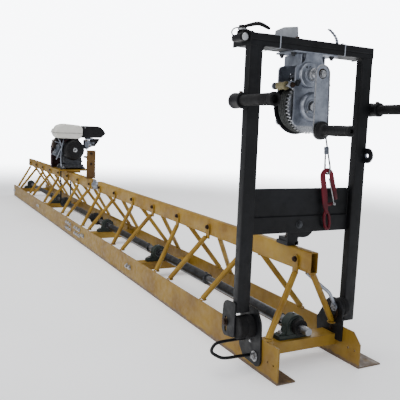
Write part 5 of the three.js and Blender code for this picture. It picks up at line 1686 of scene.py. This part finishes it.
links.tube(smooth_path([(ENG - 0.0405, 0.132, 0.574), (ENG - 0.034, 0.11, 0.56), (ENG - 0.03, 0.084, 0.553),
                        (ENG - 0.04, 0.0795, 0.548)], 6), 0.0014, 10)
links.tube(smooth_path([(ENG - 0.0405, 0.108, 0.584), (ENG - 0.03, 0.102, 0.6), (ENG - 0.0285, 0.094, 0.622),
                        (ENG - 0.034, 0.086, 0.6255)], 6), 0.0014, 10)
links.done(ZINC, bevel=0)
control = Piece("carburettor_control_plate")
control.prism(rounded_corners([(0.126, 0.566), (0.165, 0.572), (0.196, 0.612), (0.199, 0.63), (0.126, 0.63)],
                              0.006, 4), ENG - 0.06, ENG - 0.0582, "X")
control.done(PLASTIC, bevel=0.0003)
fuel_line = Piece("fuel_line")
fuel_line.tube(smooth_path([(ENG - 0.106, 0.02, 0.6285), (ENG - 0.112, 0.04, 0.612), (ENG - 0.11, 0.066, 0.59),
                            (ENG - 0.104, 0.084, 0.577), (ENG - 0.0985, 0.094, 0.572)], 6), 0.0036, 14)
fuel_line.done(RUBBER, bevel=0)

choke = Piece("choke_lever_arm")
choke.lathe([(0, 0.0002), (0.0078, 0.0002), (0.008, 0.001), (0.008, 0.0075), (0.0068, 0.0083), (0, 0.0083)],
            (ENG - 0.0445, 0.136, 0.608), "X", 32)
choke.prism(rounded_corners([(0.137, 0.6105), (0.137, 0.6055), (0.16, 0.6048), (0.1712, 0.6042), (0.1718, 0.6108),
                             (0.16, 0.6105)], 0.0024, 4), ENG - 0.0418, ENG - 0.0382, "X")
choke.done(PLASTIC, "choke", 0.0005, replaces=("choke_lever",))

# muffler on the drive side, with a slotted guard
box = Piece("muffler_box")
pillowed(box, rounded(-0.124, -0.093, 0.549, 0.611, 0.01, 6), ENG - 0.2218, ENG - 0.2002, 0.006, 4)
box.box((ENG - 0.2008, -0.119, 0.561), (ENG - 0.1962, -0.098, 0.599))
box.lathe([(0.009, 0), (0.0132, 0), (0.0138, 0.001), (0.0138, 0.022), (0.009, 0.022)],
          (ENG - 0.2438, -0.1085, 0.58), "X", 36)
for k in range(5):
    z = 0.557 + 0.0105 * k
    box.box((ENG - 0.2228, -0.0985, z), (ENG - 0.2212, -0.0955, z + 0.0045))
box.done(HOT, bevel=0.0006, angle=40, replaces=("muffler",))

# struts and a dark cooling shroud beside the recoil housing
shroud = Piece("blower_shroud")
shroud.prism([
    (-0.0635, 0.435), (-0.0615, 0.435), (-0.0615, 0.585), *arc(0, ENG_Z, 0.0755, 145, 35, 18),
    (0.0615, 0.585), (0.0615, 0.435), (0.0635, 0.435), (0.066, 0.588), *arc(0, ENG_Z, 0.0785, 36, 144, 18),
    (-0.066, 0.588),
], ENG - 0.0625, ENG - 0.0605, "X")
shroud.done(PLASTIC, bevel=0.0004)
stays = Piece("engine_strap_stays")
stays.tube(smooth_path([(ENG - 0.055, -0.088, 0.412), (ENG - 0.05, -0.094, 0.48), (ENG - 0.05, -0.086, 0.56),
                        (ENG - 0.056, -0.07, 0.627)], 8), 0.0036, 14)
stays.tube([(ENG - 0.06, -0.122, 0.642), (ENG - 0.058, -0.098, 0.6), (ENG - 0.056, -0.0875, 0.566)], 0.0034, 14)
stays.tube([(ENG - 0.0585, -0.074, 0.582), (ENG - 0.0585, -0.104, 0.52), (ENG - 0.0585, -0.126, 0.468)], 0.0042, 12)
stays.tube([(ENG - 0.0585, -0.072, 0.583), (ENG - 0.0585, -0.108, 0.594), (ENG - 0.0585, -0.138, 0.6)], 0.0038, 12)
stays.done(ZINC, bevel=0)

# belt with a wedge section and a cover over the upper pulley


def belt_line(top_r, low_r, steps=28):
    """The belt's path round both pulleys, at the radii given."""
    return arc(0, ENG_Z, top_r, 0, 180, steps) + arc(0, SHAFT_Z, low_r, 180, 360, steps)


belt = Piece("v_belt")
loops = [
    [belt.bm.verts.new((BELT_X + x, y, z)) for y, z in belt_line(UPPER_PULLEY_R + r, LOWER_PULLEY_R + r)]
    for x, r in ((-0.004, 0.0018), (0.004, 0.0018), (0.004, -0.0008), (0.0036, -0.0072), (-0.0036, -0.0072),
                 (-0.004, -0.0008))
]
skin(belt.bm, loops, closed=True, turned=True)
belt.done(RUBBER, bevel=0.0003, replaces=("drive_belt",))

guard_lo, guard_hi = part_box("belt_guard")
guard = Piece("belt_guard_shell")
hoop_r = (guard_hi[1] - guard_lo[1]) / 2 - 0.002
foot_z = guard_lo[2]
outer = [(hoop_r, foot_z)] + arc(0, ENG_Z, hoop_r, 0, 180, 48) + [(-hoop_r, foot_z)]
thin = hoop_r - 0.0026
inner = [(thin, foot_z)] + arc(0, ENG_Z, thin, 0, 180, 48) + [(-thin, foot_z)]
guard.prism(outer + list(reversed(inner)), guard_lo[0] + 0.0028, guard_hi[0], "X")
guard.prism(outer, guard_lo[0], guard_lo[0] + 0.0028, "X")
for k in range(5):
    guard.prism(rounded(-0.066, 0.066, 0.446 + 0.016 * k, 0.452 + 0.016 * k, 0.0028, 4),
                guard_lo[0] - 0.0014, guard_lo[0] + 0.001, "X")
rim = [(hoop_r + 0.0018, foot_z)] + arc(0, ENG_Z, hoop_r + 0.0018, 0, 180, 48) + [(-hoop_r - 0.0018, foot_z)]
guard.prism(rim + list(reversed(inner)), guard_hi[0] - 0.003, guard_hi[0], "X")
for side in (-1, 1):
    guard.prism(rounded(guard_lo[0], guard_hi[0], side * (hoop_r - 0.008) - 0.0098, side * (hoop_r - 0.008) + 0.0098,
                        0.003, 3), foot_z + 0.0001, foot_z + 0.0038, "Z")
guard.done(GUARD, bevel=0.0008, replaces=("belt_guard",))

finish_node("engine_platform", YELLOW, 0.001)
# the post's darker yellow is painted shade
finish_node("engine_post", POST_YELLOW_PAINTED_SHADE, 0.001)
post_low, post_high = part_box("engine_post")
post_bolts = Piece("engine_post_bolts")
for y in (-0.016, 0.016):
    post_bolts.hex((post_low[0] + 0.018, y, post_low[2] + 0.0063), "Z", 0.0078, 0.0062)
for z in (0.47, 0.54):
    post_bolts.hex((post_high[0] + GAP, 0.0, z), "X", 0.0072, 0.0058)
for x in (low("engine_platform", 0) + 0.018, high("engine_platform", 0) - 0.018):
    for y in (-0.092, 0.092):
        post_bolts.hex((x, y, 0.3966), "Z", 0.0072, 0.0058)
post_bolts.done(DARK_BOLT, bevel=0.0003)


# ---------------------------------------------------------------- throttle, cable and ties on the bar
throttle = Piece("throttle_clamp_body")
tx, ty = FRAME_FRONT - 0.032, -0.226
throttle.prism(rounded(-0.2498, LEFT_OUT - 0.0004, 0.9845, 1.0038, 0.006, 5), FRAME_FRONT - 0.053,
               FRAME_FRONT - 0.006, "X")
throttle.prism(rounded(FRAME_FRONT - 0.0495, FRAME_FRONT - 0.0145, -0.2355, -0.1965, 0.005, 4), bar_top + 0.0004,
               bar_top + 0.0062, "Z")
throttle.box((FRAME_FRONT - 0.0495, -0.2355, 1.0), (FRAME_FRONT - 0.0145, LEFT_OUT - 0.0004, bar_top + 0.005))
throttle.lathe([(0, 0), (0.009, 0), (0.009, 0.0098), (0.0075, 0.0114), (0, 0.0114)],
               (tx, ty, bar_top + 0.0046), "Z", 36)
throttle.done(PLASTIC, bevel=0.001, replaces=("throttle_clamp",))
chrome = Piece("throttle_chrome_cap")
chrome.lathe([(0, 0), (0.0098, 0), (0.0105, 0.001), (0.0105, 0.0032), (0.009, 0.0048), (0.0045, 0.0054), (0, 0.005)],
             (FRAME_FRONT - 0.0061, -0.2335, 0.9945), "X", 40)
chrome.lathe([(0.0094, 0), (0.0135, 0), (0.0142, 0.001), (0.0142, 0.0034), (0.013, 0.0046), (0.0094, 0.0046)],
             (tx, ty, bar_top + 0.0066), "Z", 40)
chrome.done(BRIGHT, bevel=0.0003)

lever_z = low("throttle_lever", 2)
lever = Piece("throttle_lever_arm")
lever.lathe([(0, 0.0002), (0.0112, 0.0002), (0.012, 0.001), (0.012, 0.0066), (0.0104, 0.0078), (0, 0.0082)],
            (tx, ty, lever_z), "Z", 40)
lever.tube(smooth_path([
    (tx + 0.003, ty + 0.003, lever_z + 0.0045), (tx + 0.014, ty + 0.014, lever_z + 0.008),
    (tx + 0.028, ty + 0.03, lever_z + 0.0118), (tx + 0.032, ty + 0.044, lever_z + 0.0105),
    (tx + 0.0335, ty + 0.058, lever_z + 0.0055), (tx + 0.034, ty + 0.07, lever_z + 0.0012),
], 8), [0.0044 + 0.0015 * math.sin(math.pi * i / 40) for i in range(41)], 18)
lever.done(RUBBER, "throttle", 0.0003, angle=60, replaces=("throttle_lever",))

inner_wire = Piece("throttle_cable")
inner_wire.tube(smooth_path([
    (FRAME_FRONT - 0.054, -0.235, 1.002), (FRAME_FRONT - 0.058, -0.244, 1.006), (FRAME_FRONT - 0.056, -0.2475, 1.015),
    (FRAME_FRONT - 0.048, -0.24, 1.024), (FRAME_FRONT - 0.04, -0.215, 1.0235), (FRAME_FRONT - 0.034, -0.185, 1.015),
    (FRAME_FRONT - 0.024, -0.15, bar_top + 0.0032), (FRAME_FRONT - 0.02, -0.122, bar_top + 0.0028),
], 8), 0.0022, 12)
inner_wire.done(RUBBER, bevel=0)

sheet = Piece("bar_sheet_lug")
lug_x = FRAME_FRONT - 0.034
sheet.prism(rounded_corners([(-0.114, 1.0085), (-0.026, 1.0085), (-0.03, 1.0498), (-0.082, 1.0425),
                             (-0.112, 1.0285)], 0.003, 3), lug_x, lug_x + 0.002, "X")
sheet.prism(rounded(lug_x - 0.012, lug_x + 0.002, -0.112, -0.028, 0.003, 3), bar_top + 0.0001, bar_top + 0.0021, "Z")
sheet.done(PALE_SHEET, bevel=0.0004)
lug_bolt = Piece("bar_sheet_lug_bolt")
lug_bolt.hex((FRAME_FRONT - 0.024, -0.036, bar_top + 0.0002), "Z", 0.0072, 0.0072)
lug_bolt.done(DARK_BOLT, bevel=0.0003)


def cable_tie(name, y):
    """A ribbed strap drawn tight round the bar, with its square head on top."""
    piece = Piece(name)
    x0, x1 = bar_low[0] - 0.0012, bar_high[0] + 0.0012
    z0, z1 = bar_bottom - 0.0012, bar_top + 0.0012
    loop = rounded(x0, x1, z0, z1, 0.004, 5)
    inner = rounded(x0 + 0.001, x1 - 0.001, z0 + 0.001, z1 - 0.001, 0.0032, 5)
    tube_section(piece, loop, inner, y - 0.0016, y + 0.0016, "Y")
    piece.box((x1 - 0.019, y - 0.003, z1 - 0.0004), (x1 - 0.013, y + 0.003, z1 + 0.0036))
    piece.done(TIE, bevel=0.0003)


cable_tie("left_cable_tie", -0.114)
cable_tie("right_cable_tie", 0.131)
tail = Piece("twisted_tie_tail")
tail_path = smooth_path([
    (FRAME_FRONT - 0.004, 0.101, bar_top - 0.001), (FRAME_FRONT - 0.002, 0.096, bar_top + 0.01),
    (FRAME_FRONT, 0.086, bar_top + 0.021), (FRAME_FRONT, 0.072, bar_top + 0.032),
    (FRAME_FRONT, 0.062, bar_top + 0.0375),
], 10)
for k in range(2):
    tail.tube([p + Vector((0.0024 * math.cos(0.5 * i + math.pi * k), 0.0024 * math.sin(0.5 * i + math.pi * k), 0))
               for i, p in enumerate(tail_path)], 0.0026, 8)
tail.done(ZINC, bevel=0)


# ---------------------------------------------------------------- studio
FLOOR_GLOW = 0.45
FLOOR_FADE = (2.6, 7.5)
FLOOR_HALF = 60
FLOOR_WHITE = (0.93, 0.93, 0.93)


def studio_sweep():
    """A white floor that fades with distance into the white backdrop."""
    floor = bpy.data.objects.new("floor", bpy.data.meshes.new("floor"))
    corners = [(x * FLOOR_HALF, y * FLOOR_HALF, 0) for x, y in ((-1, -1), (1, -1), (1, 1), (-1, 1))]
    floor.data.from_pydata(corners, [], [(0, 1, 2, 3)])
    white = Shader("floor_white", FLOOR_WHITE, 0.8)
    white.color(white.ramp(white.noise(3, 4), (0.3, 0.93), (0.7, 0.97)))
    away = white.node("ShaderNodeVectorMath", operation="LENGTH")
    white.link(white.where, away.inputs[0])
    fade = white.node("ShaderNodeMapRange", interpolation_type="SMOOTHSTEP")
    fade.inputs["From Min"].default_value = FLOOR_FADE[0]
    fade.inputs["From Max"].default_value = FLOOR_FADE[1]
    fade.inputs["To Min"].default_value = 1.0
    fade.inputs["To Max"].default_value = 0.0
    white.link(away.outputs["Value"], fade.inputs["Value"])
    white.link(fade.outputs["Result"], white.bsdf.inputs["Alpha"])
    white.bsdf.inputs["Emission Color"].default_value = COOL_WHITE
    white.bsdf.inputs["Emission Strength"].default_value = FLOOR_GLOW
    floor.data.materials.append(white.material)
    bpy.context.scene.collection.objects.link(floor)


studio_sweep()
